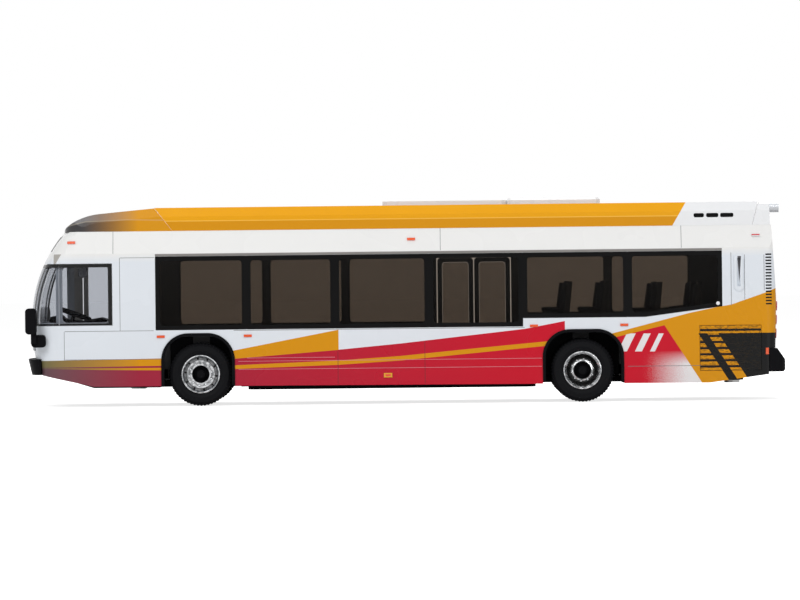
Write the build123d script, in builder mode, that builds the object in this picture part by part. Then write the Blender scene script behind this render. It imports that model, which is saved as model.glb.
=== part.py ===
from build123d import *
import math
import os

# A 1:87 die-cast scale model of a 12.5 m low-floor city bus with fairings along its roof.
# Millimetres. +X runs to the rear, -Y is the driver's side, +Z is up.
# The origin lies on the ground, under the middle of the model.

os.makedirs("parts", exist_ok=True)

# Overall sizes
overall_length = 143.6
body_width = 29.8
roof_height = 33.1
cove_rise = 4.2
crown_rise = 4.38
cove_lean = 0.9
wall = 1.0
overrun = 6.0
running_gap = 0.05
joint_gap = 0.1

half_width = body_width / 2
front_end = -overall_length / 2
rear_end = overall_length / 2
cove_foot = roof_height - cove_rise
crown_height = roof_height + crown_rise
roof_half_width = half_width - cove_lean

# Nose and tail of the casting
nose_reach = 0.73
tail_reach = 1.6
nose_depth = 25.0
nose_core = 5.6
nose_shell = 8.0
plan_radius = 70.0
front_corner_radius = 3.6
rear_corner_radius = 2.0
cap_corner_radius = 4.6
drip_step = 0.15
nose_x = front_end + nose_reach
tail_x = rear_end - tail_reach

# Side outline of the nose: share of nose_depth behind the nose, share of crown_height
nose_shares = {
    "sill": (0.03, 0.23),
    "bulge": (0.0, 0.393),
    "waist": (0.0148, 0.543),
    "brow": (0.2, 0.841),
    "crown": (0.544, 0.972),
    "roof": (1.0, 1.0),
}
# Side outline of the tail: share of tail_lean ahead of the tail, share of crown_height
tail_lean = 1.2
tail_shares = [(0.3, 0.0), (0.3, 0.22), (0.0, 0.505), (1.0, 1.0)]

# Skirt
skirt_height = 3.9
skirt_tail_height = 3.45
front_skirt_run = 13.2
rear_skirt_run = 14.3
front_skirt_rise = 2.23
rear_skirt_rise = 1.5

# Bumpers
bumper_top = 9.2
bumper_bottom = 6.16
bumper_depth = 3.3
bumper_proud = 1.4
rear_bumper_top = 9.9
rear_bumper_bottom = 5.4
rear_bumper_depth = 3.2
rear_bumper_chamfer = 2.3
bumper_edge_radius = 0.4

# Wheels, axles and arches
tyre_radius = 6.03
axle_radius = 0.75
front_overhang = 33.3
rear_overhang = 38.3
wheel_inset = 1.2
tyre_width = 3.3
twin_gap = 0.4
front_arch_length = 12.79
front_arch_shift = -0.43
rear_arch_length = 14.23
rear_arch_shift = 0.16
arch_clearance = 1.19
arch_corner_radius = 4.6
trim_width = 0.55
trim_proud = 0.2

# Glazing: a pane sits flush in a rebate and rests on a ledge
glass = 0.45
glass_ledge = 0.6
window_drop = 0.6
window_foot = 14.4
raised_foot = 15.95
rear_foot = 17.8
slope_offset = 3.281
window_radius = 0.9
screen_foot = 15.4
screen_drop = 1.8
screen_wrap = 6.8
driver_window_length = 10.05
sign_lift = 0.4
sign_drop = 0.8
sign_side_gap = 4.9

# Side windows: where a run of panes starts and ends, and the shares of it where panes meet
glazing_front_reach = 24.95
glazing_rear_reach = 11.87
raised_share = 0.6483
last_pane_share = 0.8332
left_pane_shares = [0.0, 0.1605, 0.3166, 0.4826, raised_share, last_pane_share, 1.0]
kerb_front_shares = [0.0996, 0.411, 0.685, 0.982]
kerb_rear_shares = [0.0, 0.456, 0.893]

# Doors on the kerb side
front_door_reach = 9.2
front_door_width = 12.6
rear_door_width = 14.5
rear_door_gap = 1.68
door_foot = 5.0
door_drop = 1.3
door_frame = 0.9
door_leaf_gap = 0.2
door_radius = 0.6

# Roof fairings and what stands between them
fairing_front_reach = (28.3, 24.8)
fairing_rear_reach = (6.1, 5.0)
fairing_inset = 0.1
crease_inset = 0.05
crease_drop = 1.68
crown_inset = 0.9
fairing_wall = 0.8
rear_cap_drop = 0.42
vent_rise = 1.5
vent_height = 0.8
vent_radius = 0.3
# Vents in the fairing: how far ahead of its rear end each starts and ends
vent_reach = [(10.96, 8.99), (8.59, 6.27), (5.95, 3.43)]
roof_unit_reach = 14.0
roof_unit_length = 17.9
roof_unit_rise = 1.22
roof_panel_length = 23.5
roof_panel_rise = 0.82
roof_unit_side_gap = 6.3
roof_unit_radius = 0.8

# Chassis and floor
chassis_foot = 3.6
chassis_plate = 1.1
rail_top = 6.9
rail_width = 1.1
floor_plate = 0.8
raised_floor = 11.6
raised_step = 0.78
well_half_length = 7.6
front_well_gap = 1.5
rear_well_gap = 1.4
well_head = 13.4
saddle_width = 1.6
saddle_length = 4.4
belly_half_width = 9.0
belly_drop = 0.7
display_spacing = 40.0
display_hole_radius = 0.8
display_boss_radius = 2.2
screw_reach = (20.8, 9.3)
screw_hole_radius = 0.6
screw_head_radius = 1.5
screw_head = 0.5
screw_bite = 6.0
post_radius = 1.8

# Seats
seat_width = 4.9
seat_depth = 4.6
seat_height = 5.0
well_seat_height = 2.7
seat_back = 5.9
seat_thick = 0.9
seat_lean = 0.7
seat_wall_gap = 0.3
# How far each row's cushion starts behind the driven axle
well_seat_offsets = [-7.0, 0.0]
floor_seat_offsets = [10.0, 17.5]
driver_seat_reach = 14.3
driver_seat_y = -8.0
steering_reach = 9.2
steering_height = 17.6
steering_radius = 3.2
steering_rim = 0.3
steering_tilt = 20
steering_gap = 0.393
dash_front_reach = 4.2
dash_foot_reach = 6.2
dash_rear_reach = 8.6
dash_top = 14.2
dash_lip = 0.8

# Wheels
rim_radius = 3.6
rim_wall = 0.35
front_dish = 0.5
rear_dish = 2.0
front_hub_radius = 1.6
rear_hub_radius = 1.9
axle_recess = 0.2
tyre_shoulder = 0.5

# Lamps, mirrors, grilles and the exhaust
lamp_depth = 1.6
lamp_proud = 0.2
headlamp_radius = 1.15
headlamp_height = 11.9
headlamp_side_gaps = (7.0, 4.0)
tail_lamp_radius = 0.95
tail_lamp_side_gap = 2.5
tail_lamp_heights = (12.6, 15.2, 17.8)
marker_length = 1.5
marker_height = 0.47
skirt_lamp_length = 1.6
skirt_lamp_height = 0.85
corner_lamp_length = 0.56
corner_lamp_height = 1.22
# Marker lamps along the cove, as shares of the length; those by an axle, ahead of it and behind it
cove_marker_shares = [0.064, 0.51, 0.962]
cove_marker_drop = 2.0
front_marker_offsets = (-7.4, 9.0)
front_marker_height = 13.2
rear_marker_offsets = (-9.1, 7.9)
rear_marker_height = 14.5
skirt_lamp_share = 0.478
skirt_lamp_middle = 5.5
corner_lamp_reach = 3.5
corner_lamp_middle = 9.3
mirror_reach = 1.6
mirror_side_gap = 1.4
mirror_foot = 13.9
mirror_head = 18.8
mirror_depth = 2.0
mirror_width = 2.6
mirror_radius = 0.7
bracket_reach = (1.6, 4.3)
bracket_z = (11.4, 13.8)
grille_reach = (16.22, 4.56)
grille_z = (5.7, 14.26)
grille_depth = 0.5
grille_proud = 0.15
slat_count = 7
slat = 0.35
louvre_reach = (3.67, 2.54)
louvre_z = (18.05, 27.65)
louvre_count = 17
louvre_slot = 0.28
louvre_depth = 0.4
scoop_reach = (9.6, 7.9)
scoop_z = (20.7, 27.7)
scoop_proud = 0.3
scoop_inlet = 0.65
scoop_depth = 0.5
engine_door_side_gap = 4.7
engine_door_z = (10.6, 22.0)
exhaust_radius = 1.05
exhaust_wall = 0.25
exhaust_reach = (4.4, 0.75)
exhaust_side_gap = 5.4
exhaust_sink = 0.56

# Stations that follow from the sizes above
inner_half_width = half_width - wall
chassis_half_width = inner_half_width - joint_gap
front_axle_x = front_end + front_overhang
rear_axle_x = rear_end - rear_overhang
wheel_face = half_width - wheel_inset
arch_height = 2 * tyre_radius + arch_clearance
display_x = (front_axle_x + rear_axle_x) / 2
screw_x = (front_end + screw_reach[0], rear_end - screw_reach[1])
window_top = cove_foot - window_drop
screen_top = cove_foot - screen_drop
screen_edge_x = front_end + screen_wrap
driver_window_end_x = screen_edge_x + driver_window_length
sign_half_width = half_width - sign_side_gap
sign_foot = cove_foot + sign_lift
sign_top = roof_height - sign_drop
glazing_front_x = front_end + glazing_front_reach
glazing_rear_x = rear_end - glazing_rear_reach


def meetings(front, rear, shares):
    """The X values at the given shares of a run."""
    return [front + share * (rear - front) for share in shares]


left_meetings = meetings(glazing_front_x, glazing_rear_x, left_pane_shares)
raised_x, last_pane_x = meetings(glazing_front_x, glazing_rear_x, (raised_share, last_pane_share))
slope_x = last_pane_x + slope_offset
raised_floor_x = raised_x - raised_step
front_door_x = (front_end + front_door_reach, front_end + front_door_reach + front_door_width)
rear_door_x = (raised_x - rear_door_gap - rear_door_width, raised_x - rear_door_gap)
door_head = cove_foot - door_drop
kerb_front = meetings(front_door_x[1], rear_door_x[0], kerb_front_shares)
kerb_rear = meetings(raised_x, glazing_rear_x, kerb_rear_shares)
left_window_x = list(zip(left_meetings, left_meetings[1:]))
right_window_x = list(zip(kerb_front, kerb_front[1:])) + list(zip(kerb_rear, kerb_rear[1:]))
fairing_half_width = roof_half_width - fairing_inset
fairing_crease_half_width = fairing_half_width - crease_inset
fairing_top_half_width = fairing_half_width - crown_inset
fairing_crease = crown_height - crease_drop
fairing_front_x = [front_end + reach for reach in fairing_front_reach]
fairing_rear_x = [rear_end - reach for reach in fairing_rear_reach]
rear_cap_top = crown_height - rear_cap_drop
exhaust_height = rear_cap_top - exhaust_sink
exhaust_x = [rear_end - reach for reach in exhaust_reach]
exhaust_y = exhaust_side_gap - half_width
arches = {
    "front": (front_axle_x + front_arch_shift, front_arch_length),
    "rear": (rear_axle_x + rear_arch_shift, rear_arch_length),
}


def nose_point(name):
    """A named point of the nose outline."""
    depth_share, height_share = nose_shares[name]
    return nose_x + depth_share * nose_depth, height_share * crown_height


# The nose outline as arcs that run into each other, in X and Z
bulge_arc = ThreePointArc(nose_point("sill"), nose_point("bulge"), nose_point("waist"))
screen_arc = TangentArc(bulge_arc @ 1, nose_point("brow"), tangent=bulge_arc % 1)
brow_arc = TangentArc(screen_arc @ 1, nose_point("crown"), tangent=screen_arc % 1)
cap_arc = TangentArc(brow_arc @ 1, nose_point("roof"), tangent=brow_arc % 1)


def upright(point):
    """A point or direction of the outline, stood up in the model."""
    return point.X, 0, point.Y


def swept(section, arcs, below, beyond):
    """A cross-section carried round tangent arcs, and straight on past both their ends."""
    with BuildPart() as form:
        for arc in arcs:
            with BuildSketch(Plane(origin=upright(arc @ 0), x_dir=(0, 1, 0), z_dir=upright(arc % 0))):
                add(section)
            revolve(
                axis=Axis(upright(arc.arc_center), (0, 1, 0)),
                revolution_arc=(arc % 0).get_angle(arc % 1),
            )
        first, last = arcs[0], arcs[-1]
        if below:
            with BuildSketch(Plane(origin=upright(first @ 0), x_dir=(0, 1, 0), z_dir=upright(first % 0))):
                add(section)
            extrude(amount=-below)
        if beyond:
            with BuildSketch(Plane(origin=upright(last @ 1), x_dir=(0, 1, 0), z_dir=upright(last % 1))):
                add(section)
            extrude(amount=beyond)
    return form.part


def bow(side, inset=0):
    """How far the bowed front falls back at its sides, drawn in by inset."""
    return plan_radius - math.sqrt((plan_radius - inset) ** 2 - side**2)


def nose_form(inset, side):
    """The bowed nose with its round corners, drawn in by inset and cut off at both sides."""
    with BuildSketch() as section:
        with BuildLine():
            front = ThreePointArc((-side, -bow(side, inset)), (0, -inset), (side, -bow(side, inset)))
            Polyline(front @ 1, (side, -nose_shell), (-side, -nose_shell), front @ 0)
        make_face()
        fillet(section.vertices().group_by(Axis.Y)[-1], radius=front_corner_radius - inset)
    return swept(section.sketch, [bulge_arc, screen_arc, brow_arc], bumper_top, 0)


def inward(arc, end):
    """A joint of the nose outline moved in, to where the core meets the swept nose."""
    along = arc % end
    return (arc @ end).X + nose_core * along.Y, (arc @ end).Y - nose_core * along.X


core_line = [
    (inward(bulge_arc, 0)[0], 0),
    inward(bulge_arc, 0),
    inward(bulge_arc, 1),
    inward(screen_arc, 1),
    ((brow_arc @ 1).X, roof_height),
]


def casting(inset):
    """The body below the roof, drawn in by inset on every side."""
    side = half_width - inset
    drip_side = side - drip_step
    roof_side = roof_half_width - inset - drip_step
    roof = roof_height - inset
    tail_line = [(tail_x - inset - ahead * tail_lean, height * crown_height) for ahead, height in tail_shares]
    with BuildPart() as body:
        add(nose_form(inset, side))
        with BuildSketch(Plane.XZ):
            with BuildLine():
                Polyline(*core_line, *reversed(tail_line), close=True)
            make_face()
        extrude(amount=side, both=True)
        # round the corners of the tail
        with BuildSketch() as plan:
            with BuildLine():
                Polyline(
                    (front_end - overrun, -side),
                    (tail_x - inset, -side),
                    (tail_x - inset, side),
                    (front_end - overrun, side),
                    close=True,
                )
            make_face()
            fillet(plan.vertices().group_by(Axis.X)[-1], radius=rear_corner_radius - inset)
        extrude(amount=crown_height, mode=Mode.INTERSECT)
        # lean the sides in above the drip line
        with BuildSketch(Plane.YZ.offset(front_end - overrun)):
            with BuildLine():
                Polyline(
                    (-side, 0),
                    (side, 0),
                    (side, cove_foot),
                    (drip_side, cove_foot),
                    (roof_side, roof),
                    (-roof_side, roof),
                    (-drip_side, cove_foot),
                    (-side, cove_foot),
                    close=True,
                )
            make_face()
        extrude(amount=overall_length + 2 * overrun, mode=Mode.INTERSECT)
    return body.part


def side_plane(side, inset=0):
    """The plane of one side of the body: side is -1 for the driver's side, 1 for the kerb side."""
    return Plane.XZ.offset(-side * (half_width - inset))


def window_outline(front, rear, shrink):
    """Corners of a side window; its foot steps up and slopes towards the rear."""
    low_front = raised_foot if front >= raised_x else window_foot
    slope = (rear_foot - raised_foot) / (glazing_rear_x - slope_x)
    front_foot = low_front + slope * max(0, front - slope_x)
    rear_low = low_front + slope * max(0, rear - slope_x)
    corners = [(front + shrink, front_foot + shrink)]
    if front + shrink < slope_x < rear - shrink:
        corners.append((slope_x, raised_foot + shrink))
    corners.append((rear - shrink, rear_low + shrink))
    return corners + [(rear - shrink, window_top - shrink), (front + shrink, window_top - shrink)]


def block_between(low, high, radius=0):
    """A block between two opposite corners, its edges rounded by radius."""
    size = [abs(b - a) for a, b in zip(low, high)]
    centre = [(a + b) / 2 for a, b in zip(low, high)]
    with BuildPart() as block:
        with Locations(tuple(centre)):
            Box(*size)
        if radius:
            fillet(block.edges(), radius=radius)
    return block.part


def prism(points, low_y, high_y, radius=0):
    """A side outline carried from one width to another."""
    with BuildPart() as solid:
        with BuildSketch(Plane.XZ.offset(-high_y)) as face:
            with BuildLine():
                Polyline(*points, close=True)
            make_face()
            if radius:
                fillet(face.vertices(), radius=radius)
        extrude(amount=high_y - low_y)
    return solid.part


def rectangle(front, rear, foot, head, shrink=0):
    """Corners of an upright rectangle in the side view."""
    return [
        (front + shrink, foot + shrink),
        (rear - shrink, foot + shrink),
        (rear - shrink, head - shrink),
        (front + shrink, head - shrink),
    ]


def save(piece, name):
    """Name a finished piece and write its file."""
    piece.part.label = name
    export_step(piece.part, f"parts/{name}.step")


# The outside of the casting, its inside, and the depths that glazing seats at
outer_form = casting(0)
rebate_form = casting(glass + running_gap)
pane_form = casting(glass)
inner_form = casting(wall)

# Glazing of the nose: the screen wraps both corners, the driver's window is on the left
screen_outline = rectangle(front_end, screen_edge_x, screen_foot, screen_top)
driver_outline = rectangle(screen_edge_x, driver_window_end_x, screen_foot, screen_top)
with BuildPart() as nose_rebate:
    add(prism(screen_outline, -body_width, body_width))
    add(prism(driver_outline, -body_width, 0))
    add(rebate_form, mode=Mode.SUBTRACT)
with BuildPart() as screen_sight:
    add(
        prism(
            rectangle(front_end, screen_edge_x, screen_foot, screen_top, glass_ledge),
            -body_width,
            body_width,
        )
    )
    add(
        block_between((front_end, -glass_ledge, 0), (screen_edge_x, glass_ledge, roof_height)),
        mode=Mode.SUBTRACT,
    )
driver_sight = prism(
    rectangle(screen_edge_x, driver_window_end_x, screen_foot, screen_top, glass_ledge),
    -body_width,
    0,
    window_radius,
)
sign_prism = block_between(
    (front_end, -sign_half_width, sign_foot), (front_end + nose_depth, sign_half_width, sign_top)
)
with BuildPart() as sign_rebate:
    add(sign_prism)
    add(rebate_form, mode=Mode.SUBTRACT)
sign_sight = block_between(
    (front_end, glass_ledge - sign_half_width, sign_foot + glass_ledge),
    (front_end + nose_depth, sign_half_width - glass_ledge, sign_top - glass_ledge),
)

# The skirt line with the recesses for the bumpers
front_recess_x = front_end + bumper_depth
rear_recess_x = rear_end - rear_bumper_depth
skirt_line = [
    (front_end - overrun, bumper_top),
    (front_recess_x, bumper_top),
    (front_recess_x, skirt_height + front_skirt_rise),
    (front_end + front_skirt_run, skirt_height),
    (rear_end - rear_skirt_run, skirt_tail_height),
    (rear_recess_x, skirt_tail_height + rear_skirt_rise),
    (rear_recess_x, rear_bumper_top),
    (rear_end + overrun, rear_bumper_top),
    (rear_end + overrun, -overrun),
    (front_end - overrun, -overrun),
]

# Wheel arches, wide enough for the trim round them
arch_cuts = []
for arch_x, arch_length in arches.values():
    arch = rectangle(
        arch_x - arch_length / 2 - trim_width,
        arch_x + arch_length / 2 + trim_width,
        -arch_height,
        arch_height + trim_width,
    )
    arch_cuts.append(prism(arch, -body_width, body_width, arch_corner_radius + trim_width))

# Side windows: a rebate for each pane and a smaller sight opening
window_cuts = []
for side, windows in ((-1, left_window_x), (1, right_window_x)):
    outer_y = side * (half_width + overrun)
    floor_y = side * (half_width - glass)
    deep_y = side * (half_width - overrun)
    for front, rear in windows:
        window_cuts.append(prism(window_outline(front, rear, 0), *sorted((outer_y, floor_y))))
        sight = window_outline(front, rear, glass_ledge)
        window_cuts.append(prism(sight, *sorted((outer_y, deep_y)), window_radius))

# Door openings on the kerb side
door_cuts = [
    prism(rectangle(front, rear, door_foot, door_head), half_width - overrun, half_width + overrun)
    for front, rear in (front_door_x, rear_door_x)
]

# Seats for the lamps, the side grille and the rear engine door
headlamp_places = [
    (front_end, side * (half_width - gap), headlamp_height, headlamp_radius)
    for side in (-1, 1)
    for gap in headlamp_side_gaps
]
tail_lamp_places = [
    (rear_end, side * (half_width - tail_lamp_side_gap), height, tail_lamp_radius)
    for side in (-1, 1)
    for height in tail_lamp_heights
]


def lamp_plugs(places, growth):
    """Round plugs along X through the wall, one for each lamp."""
    with BuildPart() as plugs:
        for end_x, across, height, radius in places:
            with BuildSketch(Plane.YZ.offset(end_x)):
                with Locations((across, height)):
                    Circle(radius + growth)
            extrude(amount=-math.copysign(bumper_depth + lamp_depth, end_x))
    return plugs.part


grille_x = [rear_end - reach for reach in grille_reach]
grille_cut = block_between(
    (grille_x[0], grille_depth - half_width, grille_z[0]),
    (grille_x[1], -body_width, grille_z[1]),
)
engine_door_half_width = half_width - engine_door_side_gap
engine_door_floor_x = tail_x - wall / 2 - tail_shares[0][0] * tail_lean
engine_door_cut = block_between(
    (engine_door_floor_x, -engine_door_half_width, engine_door_z[0]),
    (rear_end, engine_door_half_width, engine_door_z[1]),
)

# Louvre slots up the rear corner of the driver's side, and the air scoop ahead of them
louvre_pitch = (louvre_z[1] - louvre_z[0] - louvre_slot) / (louvre_count - 1)
louvre_cuts = [
    block_between(
        (rear_end - louvre_reach[0], louvre_depth - half_width, louvre_z[0] + number * louvre_pitch),
        (rear_end - louvre_reach[1], -body_width, louvre_z[0] + number * louvre_pitch + louvre_slot),
    )
    for number in range(louvre_count)
]
scoop_x = rear_end - (scoop_reach[0] + scoop_reach[1]) / 2
scoop_width = scoop_reach[0] - scoop_reach[1]
scoop_middle = (scoop_z[0] + scoop_z[1]) / 2
scoop_length = scoop_z[1] - scoop_z[0]

with BuildPart() as body_shell:
    add(outer_form)
    with BuildSketch(side_plane(-1)):
        with Locations((scoop_x, scoop_middle)):
            SlotOverall(scoop_length, scoop_width, rotation=90)
    extrude(amount=scoop_proud)
    with BuildSketch(side_plane(-1, -scoop_proud)):
        with Locations((scoop_x, scoop_middle)):
            Rectangle(scoop_inlet, scoop_length - scoop_width)
    extrude(amount=-scoop_depth, mode=Mode.SUBTRACT)
    add(
        [inner_form, prism(skirt_line, -body_width, body_width)]
        + arch_cuts
        + [nose_rebate.part, screen_sight.part, driver_sight, sign_rebate.part, sign_sight]
        + window_cuts
        + door_cuts
        + [lamp_plugs(headlamp_places + tail_lamp_places, running_gap), grille_cut, engine_door_cut]
        + louvre_cuts,
        mode=Mode.SUBTRACT,
    )
    # Posts that the base screws bite in, let into the roof
    with BuildSketch(Plane.XY.offset(rail_top)):
        with Locations([(post_x, 0) for post_x in screw_x]):
            Circle(post_radius)
            Circle(screw_hole_radius, mode=Mode.SUBTRACT)
    extrude(amount=roof_height - wall / 2 - rail_top)
save(body_shell, "body_shell")

# Fender trim: a thin lip round each arch, a little proud of the side
with BuildPart() as fender_trims:
    for side in (-1, 1):
        for arch_x, arch_length in arches.values():
            with BuildSketch(side_plane(side, -trim_proud)) as lip:
                with Locations((arch_x, 0)):
                    Rectangle(arch_length + 2 * trim_width, 2 * (arch_height + trim_width))
                fillet(lip.vertices(), radius=arch_corner_radius + trim_width)
                with BuildSketch(mode=Mode.SUBTRACT) as inside:
                    with Locations((arch_x, 0)):
                        Rectangle(arch_length, 2 * arch_height)
                    fillet(inside.vertices(), radius=arch_corner_radius)
                with Locations((arch_x, skirt_height - arch_height - overrun)):
                    Rectangle(arch_length + overrun, 2 * (arch_height + overrun), mode=Mode.SUBTRACT)
            extrude(amount=side * (wall + trim_proud))
save(fender_trims, "fender_trims")


def pane_set(side, windows):
    """One pane for each side window of a side, flush with the casting."""
    with BuildPart() as panes:
        for front, rear in windows:
            with BuildSketch(side_plane(side)):
                with BuildLine():
                    Polyline(*window_outline(front, rear, joint_gap), close=True)
                make_face()
            extrude(amount=side * glass)
    return panes


left_windows = pane_set(-1, left_window_x)
save(left_windows, "left_windows")
right_windows = pane_set(1, right_window_x)
save(right_windows, "right_windows")

with BuildPart() as windshield:
    add(outer_form)
    add(pane_form, mode=Mode.SUBTRACT)
    add(
        prism(
            rectangle(
                front_end - joint_gap,
                screen_edge_x - joint_gap,
                screen_foot + joint_gap,
                screen_top - joint_gap,
            ),
            -body_width,
            body_width,
        ),
        mode=Mode.INTERSECT,
    )
    add(
        block_between((front_end, -joint_gap, 0), (screen_edge_x, joint_gap, roof_height)),
        mode=Mode.SUBTRACT,
    )
save(windshield, "windshield")

with BuildPart() as driver_window:
    add(outer_form)
    add(pane_form, mode=Mode.SUBTRACT)
    add(
        prism(
            rectangle(screen_edge_x, driver_window_end_x, screen_foot, screen_top, joint_gap),
            -body_width,
            0,
        ),
        mode=Mode.INTERSECT,
    )
save(driver_window, "driver_window")

with BuildPart() as sign_glass:
    add(outer_form)
    add(pane_form, mode=Mode.SUBTRACT)
    add(
        block_between(
            (front_end, joint_gap - sign_half_width, sign_foot + joint_gap),
            (front_end + nose_depth, sign_half_width - joint_gap, sign_top - joint_gap),
        ),
        mode=Mode.INTERSECT,
    )
save(sign_glass, "sign_glass")


def door(opening, name):
    """A two-leaf door that fills its opening; returns its leaves and its glass."""
    front, rear = opening
    leaf_width = (rear - front - 3 * door_leaf_gap) / 2
    glass_y = half_width - wall / 2 - glass / 2
    with BuildPart() as leaves:
        for number in range(2):
            leaf_front = front + door_leaf_gap + number * (leaf_width + door_leaf_gap)
            with BuildSketch(side_plane(1)) as leaf:
                with BuildLine():
                    Polyline(
                        *rectangle(
                            leaf_front, leaf_front + leaf_width, door_foot + joint_gap, door_head - joint_gap
                        ),
                        close=True,
                    )
                make_face()
                fillet(leaf.vertices(), radius=door_radius)
                with BuildSketch(mode=Mode.SUBTRACT) as light:
                    with BuildLine():
                        Polyline(
                            *rectangle(
                                leaf_front, leaf_front + leaf_width, door_foot, door_head, door_frame
                            ),
                            close=True,
                        )
                    make_face()
                    fillet(light.vertices(), radius=door_radius)
            extrude(amount=wall)
    save(leaves, name)
    with BuildPart() as lights:
        for number in range(2):
            leaf_front = front + door_leaf_gap + number * (leaf_width + door_leaf_gap)
            with BuildSketch(Plane.XZ.offset(-glass_y)) as light:
                with BuildLine():
                    Polyline(
                        *rectangle(
                            leaf_front,
                            leaf_front + leaf_width,
                            door_foot,
                            door_head,
                            door_frame + running_gap,
                        ),
                        close=True,
                    )
                make_face()
                fillet(light.vertices(), radius=door_radius)
            extrude(amount=-glass)
    save(lights, name + "_glass")


door(front_door_x, "front_door")
door(rear_door_x, "rear_door")

# Roof: side fairings of two faces that meet in a crease, cut at a slant at both ends
fairing_section = [
    (fairing_half_width, roof_height),
    (fairing_crease_half_width, fairing_crease),
    (fairing_top_half_width, crown_height),
    (fairing_top_half_width - fairing_wall, crown_height),
    (fairing_crease_half_width - fairing_wall, fairing_crease),
    (fairing_half_width - fairing_wall, roof_height),
]
fairing_side = [
    (fairing_front_x[0], roof_height),
    (fairing_rear_x[0], roof_height),
    (fairing_rear_x[1], crown_height),
    (fairing_front_x[1], crown_height),
]
vent_x = [(fairing_rear_x[0] - start, fairing_rear_x[0] - end) for start, end in vent_reach]
vent_foot = roof_height + vent_rise
vent_head = vent_foot + vent_height


def fairing(side):
    """The roof fairing of one side."""
    with BuildPart() as rail:
        with BuildSketch(Plane.YZ.offset(front_end)):
            with BuildLine():
                Polyline(*[(side * across, height) for across, height in fairing_section], close=True)
            make_face()
        extrude(amount=overall_length)
        add(prism(fairing_side, -body_width, body_width), mode=Mode.INTERSECT)
        for front, rear in vent_x:
            vent = prism(rectangle(front, rear, vent_foot, vent_head), 0, half_width, vent_radius)
            add(vent if side > 0 else mirror(vent, about=Plane.XZ), mode=Mode.SUBTRACT)
    return rail


left_fairing = fairing(-1)
save(left_fairing, "left_fairing")
right_fairing = fairing(1)
save(right_fairing, "right_fairing")

# Front cap: the fairings' section carried down the nose outline, so that its creases run on
cap_side = [
    (front_end, roof_height),
    (fairing_front_x[0] - joint_gap, roof_height),
    (fairing_front_x[1] - joint_gap, crown_height),
    (fairing_front_x[1] - joint_gap, crown_height + overrun),
    (front_end, crown_height + overrun),
]
with BuildSketch() as cap_section:
    with BuildLine():
        Polyline(
            (-fairing_half_width, -nose_shell),
            (-fairing_half_width, roof_height - crown_height),
            (-fairing_crease_half_width, -crease_drop),
            (-fairing_top_half_width, 0),
            (fairing_top_half_width, 0),
            (fairing_crease_half_width, -crease_drop),
            (fairing_half_width, roof_height - crown_height),
            (fairing_half_width, -nose_shell),
            close=True,
        )
    make_face()
brow_rise = roof_height - brow_arc.arc_center.Y
cap_tip_x = brow_arc.arc_center.X - math.sqrt(brow_arc.radius**2 - brow_rise**2)
cap_tip_bow = cap_tip_x + bow(fairing_half_width)
with BuildPart() as front_roof_cap:
    add(swept(cap_section.sketch, [brow_arc, cap_arc], 0, nose_shell))
    add(prism(cap_side, -body_width, body_width), mode=Mode.INTERSECT)
    with BuildSketch() as cap_plan:
        with BuildLine():
            cap_front = ThreePointArc(
                (cap_tip_bow, -fairing_half_width), (cap_tip_x, 0), (cap_tip_bow, fairing_half_width)
            )
            Polyline(
                cap_front @ 1,
                (fairing_front_x[0], fairing_half_width),
                (fairing_front_x[0], -fairing_half_width),
                cap_front @ 0,
            )
        make_face()
        fillet(cap_plan.vertices().group_by(Axis.X)[0], radius=cap_corner_radius)
    extrude(amount=crown_height, mode=Mode.INTERSECT)
save(front_roof_cap, "front_roof_cap")

# Rear cap closes the roof between the fairings and the tail
rear_cap_side = [
    (fairing_rear_x[0] + joint_gap, roof_height),
    (tail_x - tail_lean * roof_height / crown_height, roof_height),
    (tail_x - tail_lean, rear_cap_top),
    (fairing_rear_x[1] + joint_gap, rear_cap_top),
]
with BuildPart() as rear_roof_cap:
    with BuildSketch(Plane.YZ.offset(front_end)):
        with BuildLine():
            Polyline(
                (-fairing_half_width, roof_height),
                (fairing_half_width, roof_height),
                (fairing_crease_half_width, fairing_crease),
                (fairing_top_half_width, crown_height),
                (-fairing_top_half_width, crown_height),
                (-fairing_crease_half_width, fairing_crease),
                close=True,
            )
        make_face()
    extrude(amount=overall_length)
    add(prism(rear_cap_side, -body_width, body_width), mode=Mode.INTERSECT)
    # trough for the exhaust
    with BuildSketch(Plane.YZ.offset(exhaust_x[0] - joint_gap)):
        with Locations((exhaust_y, exhaust_height)):
            Circle(exhaust_radius + joint_gap)
        with Locations((exhaust_y, exhaust_height + exhaust_radius)):
            Rectangle(2 * (exhaust_radius + joint_gap), 2 * exhaust_radius)
    extrude(amount=exhaust_x[1] - exhaust_x[0], mode=Mode.SUBTRACT)
save(rear_roof_cap, "rear_roof_cap")

# Roof equipment between the fairings
roof_unit_x = (rear_axle_x - roof_unit_reach, rear_axle_x - roof_unit_reach + roof_unit_length)
roof_panel_x = (roof_unit_x[0] - roof_panel_length, roof_unit_x[0])
roof_unit_half_width = half_width - roof_unit_side_gap
with BuildPart() as roof_equipment:
    for (front, rear), rise, across in (
        (roof_panel_x, roof_panel_rise, roof_unit_half_width),
        (roof_unit_x, roof_unit_rise, roof_unit_half_width - roof_unit_radius),
    ):
        with BuildSketch(Plane.XY.offset(roof_height)) as base:
            with Locations(((front + rear) / 2, 0)):
                Rectangle(rear - front - joint_gap, 2 * across)
            chamfer(base.vertices(), length=roof_unit_radius)
        extrude(amount=crown_rise + rise)
    chamfer(roof_equipment.edges().group_by(Axis.Z)[-1], length=roof_unit_radius / 2)
save(roof_equipment, "roof_equipment")

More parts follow.
